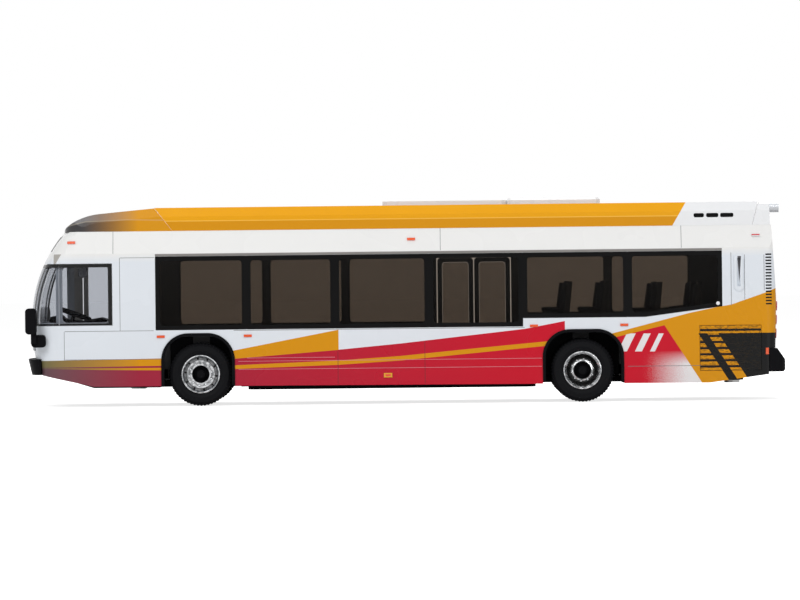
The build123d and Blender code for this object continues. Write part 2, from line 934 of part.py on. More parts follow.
# Bumpers
with BuildPart() as front_bumper:
    add(nose_form(-bumper_proud, half_width))
    add(
        block_between(
            (front_end - overrun, -body_width, bumper_bottom),
            (front_recess_x - joint_gap, body_width, bumper_top - joint_gap),
        ),
        mode=Mode.INTERSECT,
    )
save(front_bumper, "front_bumper")

rear_bumper_side = [
    (rear_recess_x + joint_gap, rear_bumper_bottom),
    (rear_end - bumper_edge_radius, rear_bumper_bottom),
    (rear_end, rear_bumper_bottom + bumper_edge_radius),
    (rear_end, rear_bumper_top - rear_bumper_chamfer),
    (tail_x, rear_bumper_top - joint_gap),
    (rear_recess_x + joint_gap, rear_bumper_top - joint_gap),
]
with BuildPart() as rear_bumper:
    add(prism(rear_bumper_side, -half_width, half_width))
    corners = rear_bumper.edges().filter_by(Axis.Z).group_by(Axis.X)[-1]
    fillet(corners, radius=rear_corner_radius)
save(rear_bumper, "rear_bumper")

# Chassis: a plate that follows the skirt, with side rails, saddles for the axles and screw bosses
well_places = [
    (front_axle_x, wheel_face - tyre_width - front_well_gap),
    (rear_axle_x, wheel_face - 2 * tyre_width - twin_gap - rear_well_gap),
]
chassis_front_x = front_recess_x + wall + bow(half_width)
chassis_rear_x = rear_recess_x - joint_gap
plate_line = [
    (chassis_front_x, chassis_foot + front_skirt_rise),
    (front_end + front_skirt_run, chassis_foot),
    (rear_end - rear_skirt_run, chassis_foot),
    (chassis_rear_x, chassis_foot + rear_skirt_rise),
]
plate_top_line = [(along, height + chassis_plate) for along, height in reversed(plate_line)]
belly_front_x = front_axle_x + well_half_length + rail_width
belly_rear_x = rear_axle_x - well_half_length - rail_width
wheel_spaces = [
    block_between(
        (axle_x - well_half_length, side * inner_y, -overrun),
        (axle_x + well_half_length, side * body_width, well_head),
    )
    for axle_x, inner_y in well_places
    for side in (-1, 1)
]
with BuildPart() as chassis:
    with BuildSketch(Plane.XZ):
        with BuildLine():
            Polyline(*plate_line, *plate_top_line, close=True)
        make_face()
    extrude(amount=chassis_half_width, both=True)
    plate_corners = chassis.edges().filter_by(lambda edge: edge.bounding_box().size.Y < wall)
    plate_corners = plate_corners.filter_by(lambda edge: edge.bounding_box().size.X < wall)
    chamfer(plate_corners, length=rear_corner_radius)
    with BuildSketch(Plane.XY.offset(chassis_foot)):
        for side in (-1, 1):
            rail_length = rear_end - rear_skirt_run - front_end - front_skirt_run
            rail_x = (rear_end - rear_skirt_run + front_end + front_skirt_run) / 2
            with Locations((rail_x, side * (chassis_half_width - rail_width / 2))):
                Rectangle(rail_length, rail_width)
        with Locations([(hole_x, 0) for hole_x in screw_x]):
            Circle(display_boss_radius)
        with Locations((display_x, 0)):
            with GridLocations(display_spacing, 0, 2, 1):
                Circle(display_boss_radius)
        for axle_x, inner_y in well_places:
            with Locations((axle_x, 0)):
                with GridLocations(0, 2 * inner_y - saddle_width - 2 * rail_width, 1, 2):
                    Rectangle(saddle_length, saddle_width)
    extrude(amount=rail_top - chassis_foot)
    with BuildSketch(Plane.XY.offset(chassis_foot)) as belly:
        with Locations(((belly_front_x + belly_rear_x) / 2, 0)):
            Rectangle(belly_rear_x - belly_front_x, 2 * belly_half_width)
        fillet(belly.vertices(), radius=display_boss_radius)
    extrude(amount=-belly_drop)
    add(wheel_spaces, mode=Mode.SUBTRACT)
    # axle bores, through both saddles of each axle
    with BuildSketch(Plane.XZ):
        with Locations([(axle_x, tyre_radius) for axle_x, inner_y in well_places]):
            Circle(axle_radius + running_gap)
    extrude(amount=body_width, both=True, mode=Mode.SUBTRACT)
    # threaded holes for the display base, and clearance holes for the body screws
    with BuildSketch(Plane.XY):
        with Locations((display_x, 0)):
            with GridLocations(display_spacing, 0, 2, 1):
                Circle(display_hole_radius)
        with Locations([(hole_x, 0) for hole_x in screw_x]):
            Circle(screw_hole_radius)
    extrude(amount=rail_top, mode=Mode.SUBTRACT)
save(chassis, "chassis")

# Body screws: a pan head under the plate and a shank up into its post
with BuildPart() as base_screws:
    with Locations([(hole_x, 0, chassis_foot) for hole_x in screw_x]):
        Cylinder(screw_head_radius, screw_head, align=(Align.CENTER, Align.CENTER, Align.MAX))
        Cylinder(
            screw_hole_radius - running_gap,
            rail_top - chassis_foot + screw_bite,
            align=(Align.CENTER, Align.CENTER, Align.MIN),
        )
save(base_screws, "base_screws")

# Floor: low from the front door back, stepping up over the driven axle, with boxes over the wheels
floor_front_x = front_end + front_skirt_run - 2 * front_corner_radius
floor_rear_x = rear_recess_x - wall
floor_line = [
    (floor_front_x, rail_top),
    (raised_floor_x, rail_top),
    (raised_floor_x, raised_floor - floor_plate),
    (floor_rear_x, raised_floor - floor_plate),
    (floor_rear_x, raised_floor),
    (raised_floor_x - floor_plate, raised_floor),
    (raised_floor_x - floor_plate, rail_top + floor_plate),
    (floor_front_x, rail_top + floor_plate),
]
with BuildPart() as interior_floor:
    add(prism(floor_line, -chassis_half_width, chassis_half_width))
    add(
        [
            block_between(
                (axle_x - well_half_length - floor_plate, side * (inner_y - floor_plate), rail_top),
                (axle_x + well_half_length + floor_plate, side * chassis_half_width, well_head + floor_plate),
            )
            for axle_x, inner_y in well_places
            for side in (-1, 1)
        ]
    )
    add(wheel_spaces, mode=Mode.SUBTRACT)
    with BuildSketch(Plane.XY):
        with Locations([(hole_x, 0) for hole_x in screw_x]):
            Circle(post_radius + joint_gap)
    extrude(amount=raised_floor, mode=Mode.SUBTRACT)
save(interior_floor, "interior_floor")

# Seats: an upright L in side view, in pairs either side of the aisle, some on the wheel boxes
well_box_top = well_head + floor_plate
seat_rows = [
    (rear_axle_x + offset, well_box_top, well_box_top + well_seat_height) for offset in well_seat_offsets
] + [(rear_axle_x + offset, raised_floor, raised_floor + seat_height) for offset in floor_seat_offsets]
with BuildPart() as passenger_seats:
    for along, level, seat_y in seat_rows:
        back_x = along + seat_depth
        seat_side = [
            (along + seat_thick, level),
            (back_x - seat_thick, level),
            (back_x - seat_thick, seat_y - seat_thick),
            (back_x, seat_y - seat_thick),
            (back_x + seat_lean, seat_y + seat_back),
            (back_x + seat_lean - seat_thick, seat_y + seat_back),
            (back_x - seat_thick, seat_y),
            (along, seat_y),
            (along, seat_y - seat_thick),
            (along + seat_thick, seat_y - seat_thick),
        ]
        for side in (-1, 1):
            wall_y = side * (inner_half_width - seat_wall_gap)
            aisle_y = side * (inner_half_width - seat_wall_gap - seat_width)
            add(prism(seat_side, *sorted((wall_y, aisle_y))))
save(passenger_seats, "passenger_seats")


# Axles and wheels


def rim(radius, width, face_y, dish, hub):
    """A wheel disc seen from outside, revolved about its axle; face_y is its outer face."""
    return [
        (axle_radius, face_y - dish),
        (hub, face_y - dish),
        (hub + dish / 2, face_y - dish - rim_wall),
        (radius - rim_wall, face_y - dish - rim_wall),
        (radius - rim_wall, face_y),
        (radius, face_y),
        (radius, face_y - width),
        (radius - rim_wall, face_y - width),
        (radius - rim_wall, face_y - dish - 2 * rim_wall),
        (axle_radius, face_y - dish - 2 * rim_wall),
    ]


wheel_sets = {
    "front": (front_axle_x, 1, front_dish, front_hub_radius),
    "rear": (rear_axle_x, 2, rear_dish, rear_hub_radius),
}
for end, (axle_x, count, dish, hub) in wheel_sets.items():
    pair_width = count * tyre_width + (count - 1) * twin_gap
    spin = Axis((axle_x, 0, tyre_radius), (0, 1, 0))
    with BuildPart() as axle:
        with BuildSketch(Plane.XZ):
            with Locations((axle_x, tyre_radius)):
                Circle(axle_radius)
        extrude(amount=wheel_face - axle_recess, both=True)
    save(axle, f"{end}_axle")
    for side, hand in ((-1, "left"), (1, "right")):
        with BuildPart() as disc:
            with BuildSketch(Plane.YZ.offset(axle_x)):
                with BuildLine():
                    Polyline(
                        *[
                            (side * across, tyre_radius + outward)
                            for outward, across in rim(rim_radius, pair_width, wheel_face, dish, hub)
                        ],
                        close=True,
                    )
                make_face()
            revolve(axis=spin)
        save(disc, f"{end}_rim_{hand}")
        with BuildPart() as tyres:
            for number in range(count):
                outer_y = wheel_face - number * (tyre_width + twin_gap)
                with BuildSketch(Plane.YZ.offset(axle_x)) as section:
                    with Locations(
                        (side * (outer_y - tyre_width / 2), tyre_radius + (tyre_radius + rim_radius) / 2)
                    ):
                        Rectangle(tyre_width, tyre_radius - rim_radius)
                    chamfer(section.vertices().group_by(Axis.Z)[-1], length=tyre_shoulder)
                revolve(axis=spin)
        save(tyres, f"{end}_tyres_{hand}")

# Lamps: plugs that follow the casting and stand a little proud of it
proud_form = casting(-lamp_proud)
for name, places in (("headlamps", headlamp_places), ("tail_lamps", tail_lamp_places)):
    with BuildPart() as lamps:
        add(lamp_plugs(places, 0))
        add(proud_form, mode=Mode.INTERSECT)
    save(lamps, name)

# Marker lamps on both sides: X of the middle, height of the middle, length, height
cove_marker_z = roof_height - cove_marker_drop
marker_places = (
    [
        (front_end + share * overall_length, cove_marker_z, marker_length, marker_height)
        for share in cove_marker_shares
    ]
    + [
        (front_axle_x + offset, front_marker_height, marker_length, marker_height)
        for offset in front_marker_offsets
    ]
    + [
        (rear_axle_x + offset, rear_marker_height, marker_length, marker_height)
        for offset in rear_marker_offsets
    ]
    + [
        (
            front_end + skirt_lamp_share * overall_length,
            skirt_lamp_middle,
            skirt_lamp_length,
            skirt_lamp_height,
        ),
        (rear_end - corner_lamp_reach, corner_lamp_middle, corner_lamp_length, corner_lamp_height),
    ]
)
with BuildPart() as marker_lamps:
    for along, height, length, depth in marker_places:
        for side in (-1, 1):
            low_y, high_y = sorted((side * (roof_half_width - wall), side * (half_width + wall)))
            with Locations((along, (low_y + high_y) / 2, height)):
                Box(length, high_y - low_y, depth)
    add(proud_form, mode=Mode.INTERSECT)
    add(casting(-running_gap), mode=Mode.SUBTRACT)
save(marker_lamps, "marker_lamps")

# Side grille of the engine bay: a frame filled with slats
with BuildPart() as side_grille:
    with BuildSketch(side_plane(-1)):
        with BuildLine():
            Polyline(*rectangle(*grille_x, *grille_z, joint_gap), close=True)
        make_face()
    extrude(amount=-grille_depth)
    slat_pitch = (grille_z[1] - grille_z[0] - slat - 2 * joint_gap) / slat_count
    with BuildSketch(side_plane(-1)):
        for number in range(slat_count + 1):
            slat_z = grille_z[0] + joint_gap + slat / 2 + number * slat_pitch
            with Locations(((grille_x[0] + grille_x[1]) / 2, slat_z)):
                Rectangle(grille_x[1] - grille_x[0] - 2 * joint_gap, slat)
    extrude(amount=grille_proud)
save(side_grille, "side_grille")

# Engine door across the tail
with BuildPart() as engine_door:
    add(outer_form)
    add(
        block_between(
            (
                engine_door_floor_x + joint_gap,
                joint_gap - engine_door_half_width,
                engine_door_z[0] + joint_gap,
            ),
            (rear_end, engine_door_half_width - joint_gap, engine_door_z[1] - joint_gap),
        ),
        mode=Mode.INTERSECT,
    )
save(engine_door, "engine_door")

# Mirrors: a head ahead of the corner and the arm that carries it
mirror_x = front_end + mirror_reach
mirror_y = half_width + mirror_side_gap
bracket_x = [front_end + reach for reach in bracket_reach]
for side, hand in ((-1, "left"), (1, "right")):
    head_y = sorted((side * (mirror_y - mirror_width / 2), side * (mirror_y + mirror_width / 2)))
    arm_y = sorted((side * (half_width + joint_gap), side * (half_width + mirror_width / 2)))
    neck_y = sorted((side * (half_width + mirror_radius), side * (mirror_y + mirror_radius)))
    with BuildPart() as mirror_head_part:
        add(
            prism(
                rectangle(
                    mirror_x - mirror_depth / 2, mirror_x + mirror_depth / 2, mirror_foot, mirror_head
                ),
                *head_y,
                mirror_radius,
            )
        )
        add(prism(rectangle(*bracket_x, *bracket_z), *arm_y, mirror_radius))
        add(
            prism(
                rectangle(
                    bracket_x[0],
                    mirror_x + mirror_depth / 2,
                    bracket_z[0] + mirror_radius,
                    mirror_foot + mirror_radius,
                ),
                *neck_y,
            )
        )
    save(mirror_head_part, f"{hand}_mirror")

# Exhaust: a pipe that lies in its trough in the rear cap and points to the rear
with BuildPart() as exhaust_outlet:
    with BuildSketch(Plane.YZ.offset(exhaust_x[0])):
        with Locations((exhaust_y, exhaust_height)):
            Circle(exhaust_radius)
            Circle(exhaust_radius - exhaust_wall, mode=Mode.SUBTRACT)
    extrude(amount=exhaust_x[1] - exhaust_x[0])
save(exhaust_outlet, "exhaust_outlet")

# Dashboard, steering wheel and the driver's seat
dash_front_x = front_end + dash_front_reach
dash_foot_x = front_end + dash_foot_reach
dash_rear_x = front_end + dash_rear_reach
with BuildPart() as dashboard:
    dash_side = [
        (dash_foot_x, rail_top + floor_plate),
        (dash_rear_x, rail_top + floor_plate),
        (dash_rear_x, dash_top - dash_lip),
        (dash_rear_x - dash_lip, dash_top),
        (dash_front_x, dash_top),
        (dash_front_x, dash_top - dash_lip),
        (dash_foot_x, dash_top - dash_lip),
    ]
    add(prism(dash_side, -sign_half_width, sign_half_width))
save(dashboard, "dashboard")

steering_lean = math.radians(steering_tilt)
steering_column = (steering_height - dash_top - steering_gap) / math.cos(steering_lean)
wheel_plane = Plane(
    origin=(front_end + steering_reach, driver_seat_y, steering_height),
    x_dir=(0, 1, 0),
    z_dir=(math.sin(steering_lean), 0, math.cos(steering_lean)),
)
with BuildPart() as steering_wheel:
    with BuildSketch(wheel_plane):
        Circle(steering_radius)
        Circle(steering_radius - 2 * steering_rim, mode=Mode.SUBTRACT)
        Rectangle(2 * steering_radius - 2 * steering_rim, 2 * steering_rim)
    extrude(amount=steering_rim)
    with BuildSketch(wheel_plane):
        Circle(steering_rim)
    extrude(amount=-steering_column)
save(steering_wheel, "steering_wheel")

driver_seat_x = front_end + driver_seat_reach
with BuildPart() as driver_seat:
    back_x = driver_seat_x + seat_depth
    level = rail_top + floor_plate
    seat_y = level + seat_height
    driver_side = [
        (driver_seat_x + seat_thick, level),
        (back_x - seat_thick, level),
        (back_x - seat_thick, seat_y - seat_thick),
        (back_x, seat_y - seat_thick),
        (back_x + seat_lean, seat_y + seat_back),
        (back_x + seat_lean - seat_thick, seat_y + seat_back),
        (back_x - seat_thick, seat_y),
        (driver_seat_x, seat_y),
        (driver_seat_x, seat_y - seat_thick),
        (driver_seat_x + seat_thick, seat_y - seat_thick),
    ]
    add(prism(driver_side, driver_seat_y - seat_width / 2, driver_seat_y + seat_width / 2))
save(driver_seat, "driver_seat")
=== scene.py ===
import math
import bpy
import bmesh
from mathutils import Matrix, Vector


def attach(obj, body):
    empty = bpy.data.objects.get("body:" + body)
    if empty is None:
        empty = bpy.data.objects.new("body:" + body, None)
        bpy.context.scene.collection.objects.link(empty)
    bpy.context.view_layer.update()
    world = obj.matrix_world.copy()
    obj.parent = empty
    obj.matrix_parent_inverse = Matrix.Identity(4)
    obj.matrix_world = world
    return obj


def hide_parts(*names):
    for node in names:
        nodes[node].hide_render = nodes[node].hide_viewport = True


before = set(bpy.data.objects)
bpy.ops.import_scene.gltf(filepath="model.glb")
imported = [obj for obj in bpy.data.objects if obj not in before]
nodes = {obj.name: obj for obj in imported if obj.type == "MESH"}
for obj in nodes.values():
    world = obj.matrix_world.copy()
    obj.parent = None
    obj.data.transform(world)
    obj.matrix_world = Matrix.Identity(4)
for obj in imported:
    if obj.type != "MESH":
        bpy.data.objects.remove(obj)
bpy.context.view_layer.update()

# The looks of a 1:87 die-cast city bus. +X runs to the rear, -Y is the driver's side, +Z is up.
# Lengths are in millimetres and MM turns them into metres.

MM = 0.001
# How far the edge of a printed patch blurs
SOFT = 0.04

# How the photograph maps to the near side of the model
PX = 0.18833
PHOTO_WIDTH_PX = 800
PHOTO_MIDDLE_PX = 403.75
GROUND_PX = 409.05
GROUND_SLOPE = 0.01075


def photo_x(px):
    """Millimetres along the bus for a column of the photograph."""
    return (px - PHOTO_MIDDLE_PX) * PX


def photo_z(px, py):
    """Millimetres above the ground for a point of the photograph."""
    return (GROUND_PX - GROUND_SLOPE * px - py) * PX


def photo(px, py):
    return photo_x(px), photo_z(px, py)


def photo_line(points):
    """Points of the photograph as (x, z) millimetres."""
    return [photo(*point) for point in points]


# Stations shared with the frame
HALF_WIDTH = 14.9
COVE_FOOT = 28.9
ROOF = 33.1
ROOF_HALF_WIDTH = 13.85
COVE_FOOT_HALF = 14.75
WINDOW_TOP = 28.3
WINDOW_FOOT = 14.4
RAISED_FOOT = 15.95
REAR_FOOT = 17.8
RAISED_X = 22.38
SLOPE_X = 45.4
SLOPE_END_X = 59.93
LEFT_WINDOWS_X = [
    (-46.85, -29.71), (-29.71, -13.04), (-13.04, 4.68), (4.68, RAISED_X), (RAISED_X, 42.12),
    (42.12, SLOPE_END_X),
]
RIGHT_WINDOWS_X = [(-44.4, -26.9), (-26.9, -11.5), (-11.5, 5.2), (RAISED_X, 39.5), (39.5, 55.9)]
# Each axle's place, and how many tyres stand on each end of it
WHEELS = {"front": (-38.5, 1), "rear": (33.5, 2)}
WHEEL_Z = 6.03


# Materials

# How far roughness wanders to each side of its value in a plain finish
ROUGH_DRIFT = 0.15


class Paint:
    """A material and its node tree, with sums written as calls."""

    def __init__(self, name, colour=(0.8, 0.8, 0.8), rough=0.4, metal=0.0, coat=0.0):
        self.material = bpy.data.materials.new(name)
        self.material.use_nodes = True
        self.tree = self.material.node_tree
        self.shader = self.tree.nodes["Principled BSDF"]
        self.set("Base Color", (*colour, 1))
        self.set("Roughness", rough)
        self.set("Metallic", metal)
        self.set("Coat Weight", coat)
        self.set("Coat Roughness", 0.08)
        self.place = self.node("TexCoord").outputs["Object"]
        split = self.node("SeparateXYZ")
        self.feed(split.inputs[0], self.place)
        self.x, self.y, self.z = split.outputs

    def set(self, name, value):
        self.shader.inputs[name].default_value = value

    def shine(self, level):
        self.set("Specular IOR Level", level)

    def node(self, kind):
        return self.tree.nodes.new("ShaderNode" + kind)

    def feed(self, socket, value):
        """Links a socket to another, or sets it to a colour or a number."""
        if hasattr(value, "is_output"):
            self.tree.links.new(value, socket)
        elif hasattr(value, "__len__"):
            socket.default_value = (*value, 1)
        else:
            socket.default_value = value

    def math(self, operation, a, b=0.0, clamp=False):
        node = self.node("Math")
        node.operation = operation
        node.use_clamp = clamp
        self.feed(node.inputs[0], a)
        self.feed(node.inputs[1], b)
        return node.outputs[0]

    def add(self, a, b):
        return self.math("ADD", a, b)

    def minus(self, a, b):
        return self.math("SUBTRACT", a, b)

    def times(self, a, b):
        return self.math("MULTIPLY", a, b)

    def mix(self, share, a, b):
        node = self.node("Mix")
        node.data_type = "RGBA"
        self.feed(node.inputs["Factor"], share)
        self.feed(node.inputs[6], a)
        self.feed(node.inputs[7], b)
        return node.outputs[2]

    def edge(self, past, soft=SOFT):
        """1 where past is over zero, blurred over soft millimetres."""
        return self.math("ADD", self.times(past, 1 / (soft * MM)), 0.5, clamp=True)

    def above(self, value, limit, soft=SOFT):
        """1 where a value in metres is over a limit in millimetres."""
        return self.edge(self.minus(value, limit * MM), soft)

    def below(self, value, limit, soft=SOFT):
        return self.edge(self.minus(limit * MM, value), soft)

    def both(self, *masks):
        """1 where every mask is 1."""
        result = masks[0]
        for mask in masks[1:]:
            result = self.times(result, mask)
        return result

    def either(self, *masks):
        """1 where any mask is 1."""
        result = masks[0]
        for mask in masks[1:]:
            result = self.math("ADD", result, mask, clamp=True)
        return result

    def between(self, value, low, high):
        return self.both(self.above(value, low), self.below(value, high))

    def patch(self, x_range, z_range):
        """1 inside a rectangle seen from the side, in millimetres."""
        return self.both(self.between(self.x, *x_range), self.between(self.z, *z_range))

    def run(self, start, end):
        """0 at one x and 1 at another, in millimetres."""
        return self.math("DIVIDE", self.minus(self.x, start * MM), (end - start) * MM, clamp=True)

    def wave(self, foot, pitch):
        """From 0 to 1 once for each pitch upwards from foot, in millimetres."""
        return self.math("FRACT", self.times(self.minus(self.z, foot * MM), 1 / (pitch * MM)))

    def height(self, points):
        """The height of a line of (x, z) millimetre points at this x."""
        low, high = points[0][0], points[-1][0]
        foot, head = min(z for x, z in points), max(z for x, z in points)
        share = self.node("MapRange")
        self.feed(share.inputs["Value"], self.x)
        share.inputs["From Min"].default_value = low * MM
        share.inputs["From Max"].default_value = high * MM
        curve = self.node("FloatCurve")
        line = curve.mapping.curves[0]
        shares = [((x - low) / (high - low), (z - foot) / (head - foot)) for x, z in points]
        for number, (across, up) in enumerate(shares):
            if number < 2:
                line.points[number].location = (across, up)
            else:
                line.points.new(across, up)
        for point in line.points:
            point.handle_type = "VECTOR"
        curve.mapping.update()
        self.feed(curve.inputs["Value"], share.outputs[0])
        return self.add(self.times(curve.outputs[0], (head - foot) * MM), foot * MM)

    def under(self, points):
        """1 under a line of (x, z) millimetre points."""
        return self.edge(self.minus(self.height(points), self.z))

    def over(self, points):
        return self.edge(self.minus(self.z, self.height(points)))

    def side_of(self, foot, head):
        """1 to the rear of the line from foot to head, two (x, z) millimetre points."""
        lean = (head[0] - foot[0]) / (head[1] - foot[1])
        line = self.add(self.times(self.minus(self.z, foot[1] * MM), lean), foot[0] * MM)
        return self.edge(self.minus(self.x, line))

    def strip(self, front, rear):
        """1 between two lines, each a (foot, head) pair."""
        return self.both(self.side_of(*front), self.minus(1.0, self.side_of(*rear)))

    def noise(self, size, detail=2.0, stretch=None):
        """Noise with spots about size millimetres across."""
        node = self.node("TexNoise")
        node.inputs["Scale"].default_value = 1 / (size * MM)
        node.inputs["Detail"].default_value = detail
        place = self.place
        if stretch:
            mapping = self.node("Mapping")
            mapping.inputs["Scale"].default_value = stretch
            self.feed(mapping.inputs["Vector"], place)
            place = mapping.outputs[0]
        self.feed(node.inputs["Vector"], place)
        return node.outputs[0]

    def bump(self, height, depth):
        """Bump of depth millimetres from a height between 0 and 1."""
        node = self.node("Bump")
        node.inputs["Strength"].default_value = 1.0
        node.inputs["Distance"].default_value = depth * MM
        self.feed(node.inputs["Height"], height)
        self.feed(self.shader.inputs["Normal"], node.outputs[0])

    def blend(self, share, first, second):
        """A shader between two others."""
        node = self.node("MixShader")
        for socket, value in zip(node.inputs, (share, first, second)):
            self.feed(socket, value)
        return node.outputs[0]

    def cover(self, shader):
        """Gives the material a shader of its own, and returns the material."""
        self.feed(self.tree.nodes["Material Output"].inputs[0], shader)
        return self.material

    def colour(self, socket):
        self.feed(self.shader.inputs["Base Color"], socket)

    def rough(self, low, high, size):
        """Roughness that wanders between two values."""
        wander = self.noise(size)
        self.feed(self.shader.inputs["Roughness"], self.add(self.times(wander, high - low), low))


def plain(
    name, colour, rough, metal=0.0, coat=0.0, vary=0.12, spot=3.0, grain=0.25, depth=0.01, shine=0.5
):
    """A moulded or painted finish: its colour drifts a little and its surface has a fine grain."""
    paint = Paint(name, colour, rough, metal, coat)
    paint.shine(shine)
    dark = tuple(channel * (1 - vary) for channel in colour)
    light = tuple(min(1, channel * (1 + vary)) for channel in colour)
    paint.colour(paint.mix(paint.noise(spot), dark, light))
    paint.rough(rough * (1 - ROUGH_DRIFT), min(1, rough * (1 + ROUGH_DRIFT)), spot)
    paint.bump(paint.noise(grain, 3.0), depth)
    return paint.material


WHITE = (0.83, 0.84, 0.855)
GOLD = (0.68, 0.285, 0.001)
RED = (0.58, 0.003, 0.02)
PLUM = (0.17, 0.025, 0.06)
SMOKE = (0.10, 0.10, 0.105)
BLACK = (0.002, 0.002, 0.0022)
SMOKED_GOLD = (0.16, 0.15, 0.07)
PRINT_WHITE = (0.80, 0.78, 0.79)
THROAT_SHADE = (0.10, 0.10, 0.11)
# Painted shade on the nose ledge and inside the body, lighter round the driver as painted light
LEDGE_SHADE = (0.42, 0.44, 0.47)
LIT_INSIDE = (0.42, 0.40, 0.37)
SHADED_INSIDE = (0.13, 0.125, 0.12)

black_trim = plain("black_trim", (0.004, 0.004, 0.005), 0.55, shine=0.05)
black_print = plain("black_print", BLACK, 0.35, spot=6.0, depth=0.002, shine=0.1)
# grey of the gutter strip, partly a painted shadow over the windows
gutter_shadow_grey = plain("gutter_shadow_grey", (0.22, 0.21, 0.20), 0.5)
cloth = plain("cloth", (0.012, 0.012, 0.016), 0.85, grain=0.15, depth=0.03, shine=0.2)
line_dark = plain("line_dark", (0.16, 0.16, 0.17), 0.6)
# pale pink painted highlight of the skirt's moulded lines
skirt_highlight_paint = plain("skirt_highlight_paint", (0.62, 0.22, 0.26), 0.4, vary=0.25, spot=9.0, shine=0.2)
white_paint = plain("white_paint", WHITE, 0.28, coat=0.4, vary=0.02, depth=0.003)
grey_floor = plain("grey_floor", (0.035, 0.035, 0.037), 0.6)
seat_plastic = plain("seat_plastic", (0.010, 0.010, 0.012), 0.5)
chrome = plain("chrome", (0.72, 0.73, 0.74), 0.14, metal=1.0, vary=0.05, depth=0.004)
steel = plain("steel", (0.5, 0.5, 0.5), 0.3, metal=1.0)
rubber = plain("rubber", (0.0045, 0.0047, 0.0058), 0.65, grain=0.4, depth=0.02, shine=0.1)


# The lamps high at the tail have a white lens under a red one
TAIL_LAMP_X = 60.0
TAIL_LAMP_Z = 20.0
LENS_SPLIT_Z = 31.12
# The skirt lamp: its middle, half its lens, and how far its yellow frame may reach
SKIRT_LAMP = (-3.16, 5.5)
SKIRT_LENS = (0.5, 0.2)
SKIRT_FRAME_REACH = 2.0


def marker_paint():
    """Orange lenses, the split lens high at the tail, and the skirt lamp in its yellow frame."""
    paint = Paint("marker_paint", (0.8, 0.1, 0.01), 0.25, coat=0.5)
    orange = paint.mix(paint.noise(0.5), (0.85, 0.10, 0.01), (0.75, 0.07, 0.01))
    tail = paint.both(paint.above(paint.x, TAIL_LAMP_X), paint.above(paint.z, TAIL_LAMP_Z))
    split = paint.mix(paint.above(paint.z, LENS_SPLIT_Z), (0.7, 0.7, 0.7), (0.6, 0.01, 0.02))
    colour = paint.mix(tail, orange, split)
    across = paint.math("ABSOLUTE", paint.minus(paint.x, SKIRT_LAMP[0] * MM))
    up = paint.math("ABSOLUTE", paint.minus(paint.z, SKIRT_LAMP[1] * MM))
    beside = paint.above(across, SKIRT_LENS[0])
    over = paint.above(up, SKIRT_LENS[1])
    near = paint.both(paint.below(across, SKIRT_FRAME_REACH), paint.below(up, SKIRT_FRAME_REACH))
    yellow = paint.times(paint.math("MAXIMUM", beside, over), near)
    paint.colour(paint.mix(yellow, colour, (0.75, 0.33, 0.004)))
    return paint.material


marker_finish = marker_paint()
red_lens = plain("red_lens", (0.45, 0.01, 0.01), 0.2, coat=0.6)
silver = plain("silver", (0.65, 0.67, 0.70), 0.25, metal=0.8)


# The printed stripes, as points of the photograph
RED_TOP_PX = [
    (36, 368.3), (163, 366.2), (205, 361.2), (230, 359.5), (338, 350.2), (400, 344), (524, 329.4),
    (566, 321.2),
]
RED_END_PX = 564.3
WEDGE_TOP_PX = [(36, 361.7), (163, 358.9), (200, 356.6), (228, 352), (338, 330.2)]
WEDGE_FOOT_PX = [(36, 368.5), (163, 366.3), (205, 361.4), (230, 359.6), (338, 350.4)]
WEDGE_END_PX = 337.8
# The long pinstripe: column, and the rows of its top and foot
PIN_PX = [
    (36, 369, 369.1), (100, 368.8, 370.6), (163, 368.3, 370.9), (230, 366, 369.7),
    (338, 361, 365.3), (400, 356.5, 361), (473, 349, 353.6), (566, 339.9, 344.3),
]
SWEEP_START_PX = 600
SWEEP_TOP_PX = [
    (596, 338.5), (603.7, 336), (689.5, 313.3), (716, 307.6), (731, 305), (764, 293.4),
    (785, 284.7),
]
SWEEP_FOOT_PX = [(596, 342.4), (606.6, 339.7), (663.8, 325.7), (720, 312.5)]
GOLD_EDGE_PX = [(700.5, 382.5), (663.8, 325.7)]
BAR_FOOT_PX = 352
BAR_HEAD_PX = 334
BAR_LEAN_PX = 9
# Slanted bars and bands: first column at the foot, and width
WHITE_BARS_PX = [(617, 9), (634, 7), (649, 5)]
BLACK_BANDS_PX = [(729, 9), (749, 60)]
BAND_HEAD_PX = (780, 333)
# Foot, front head and rear head of the scoop's throat, which is painted grey as its shade
SCOOP_THROAT_PX = [(739.3, 283), (737.4, 256.5), (741, 256.5)]

# Where the red comes out of plum, and where both colours turn to smoke grey
RED_RUN = (-70.0, 25.0)
SMOKE_RUN = (-50.0, -69.0)
# Where the lower body's cooler, darker white, a painted shade, gives way to the lighter, warmer
# white of the cove, a painted light
COVE_LIGHT_Z = 28.0
COVE_LIGHT_SOFT = 1.5
# The red corner pales to the rear: where that starts, its length, its height and its softness
PALE_X = 43.0
PALE_LENGTH = 17.0
PALE_Z = 8.3
PALE_SOFT = 2.5
PALE_GRAIN = 0.45
PALE_LEVEL = 0.6
PALE_LEVEL_SOFT = 420.0

# Where the outside of the casting begins, and where the driver's place ends
PRINTED_Y = 14.4
NOSE_X = -66.0
TAIL_X = 66.0
DRIVER_END_X = -48.0
DRIVER_END_SOFT = 2.0
# The ledge between the two panes of the nose lies in shadow behind the glass, and is painted grey as
# that shadow
LEDGE_X = (-65.7, -64.2)
LEDGE_Z = (15.9, 26.5)

# Grille and louvre of the tail, as the CAD has them, and the share of each pitch that is open,
# painted dark as its shade
GRILLE_X = (55.68, 67.14)
GRILLE_Z = (5.8, 14.16)
SLAT_PITCH = 1.1443
SLAT_GAP = (0.42, 0.80)
LOUVRE_X = (68.13, 69.26)
LOUVRE_Z = (18.05, 27.65)
LOUVRE_PITCH = 0.5825
LOUVRE_GAP = 0.5
MESH_LEVEL = 0.56


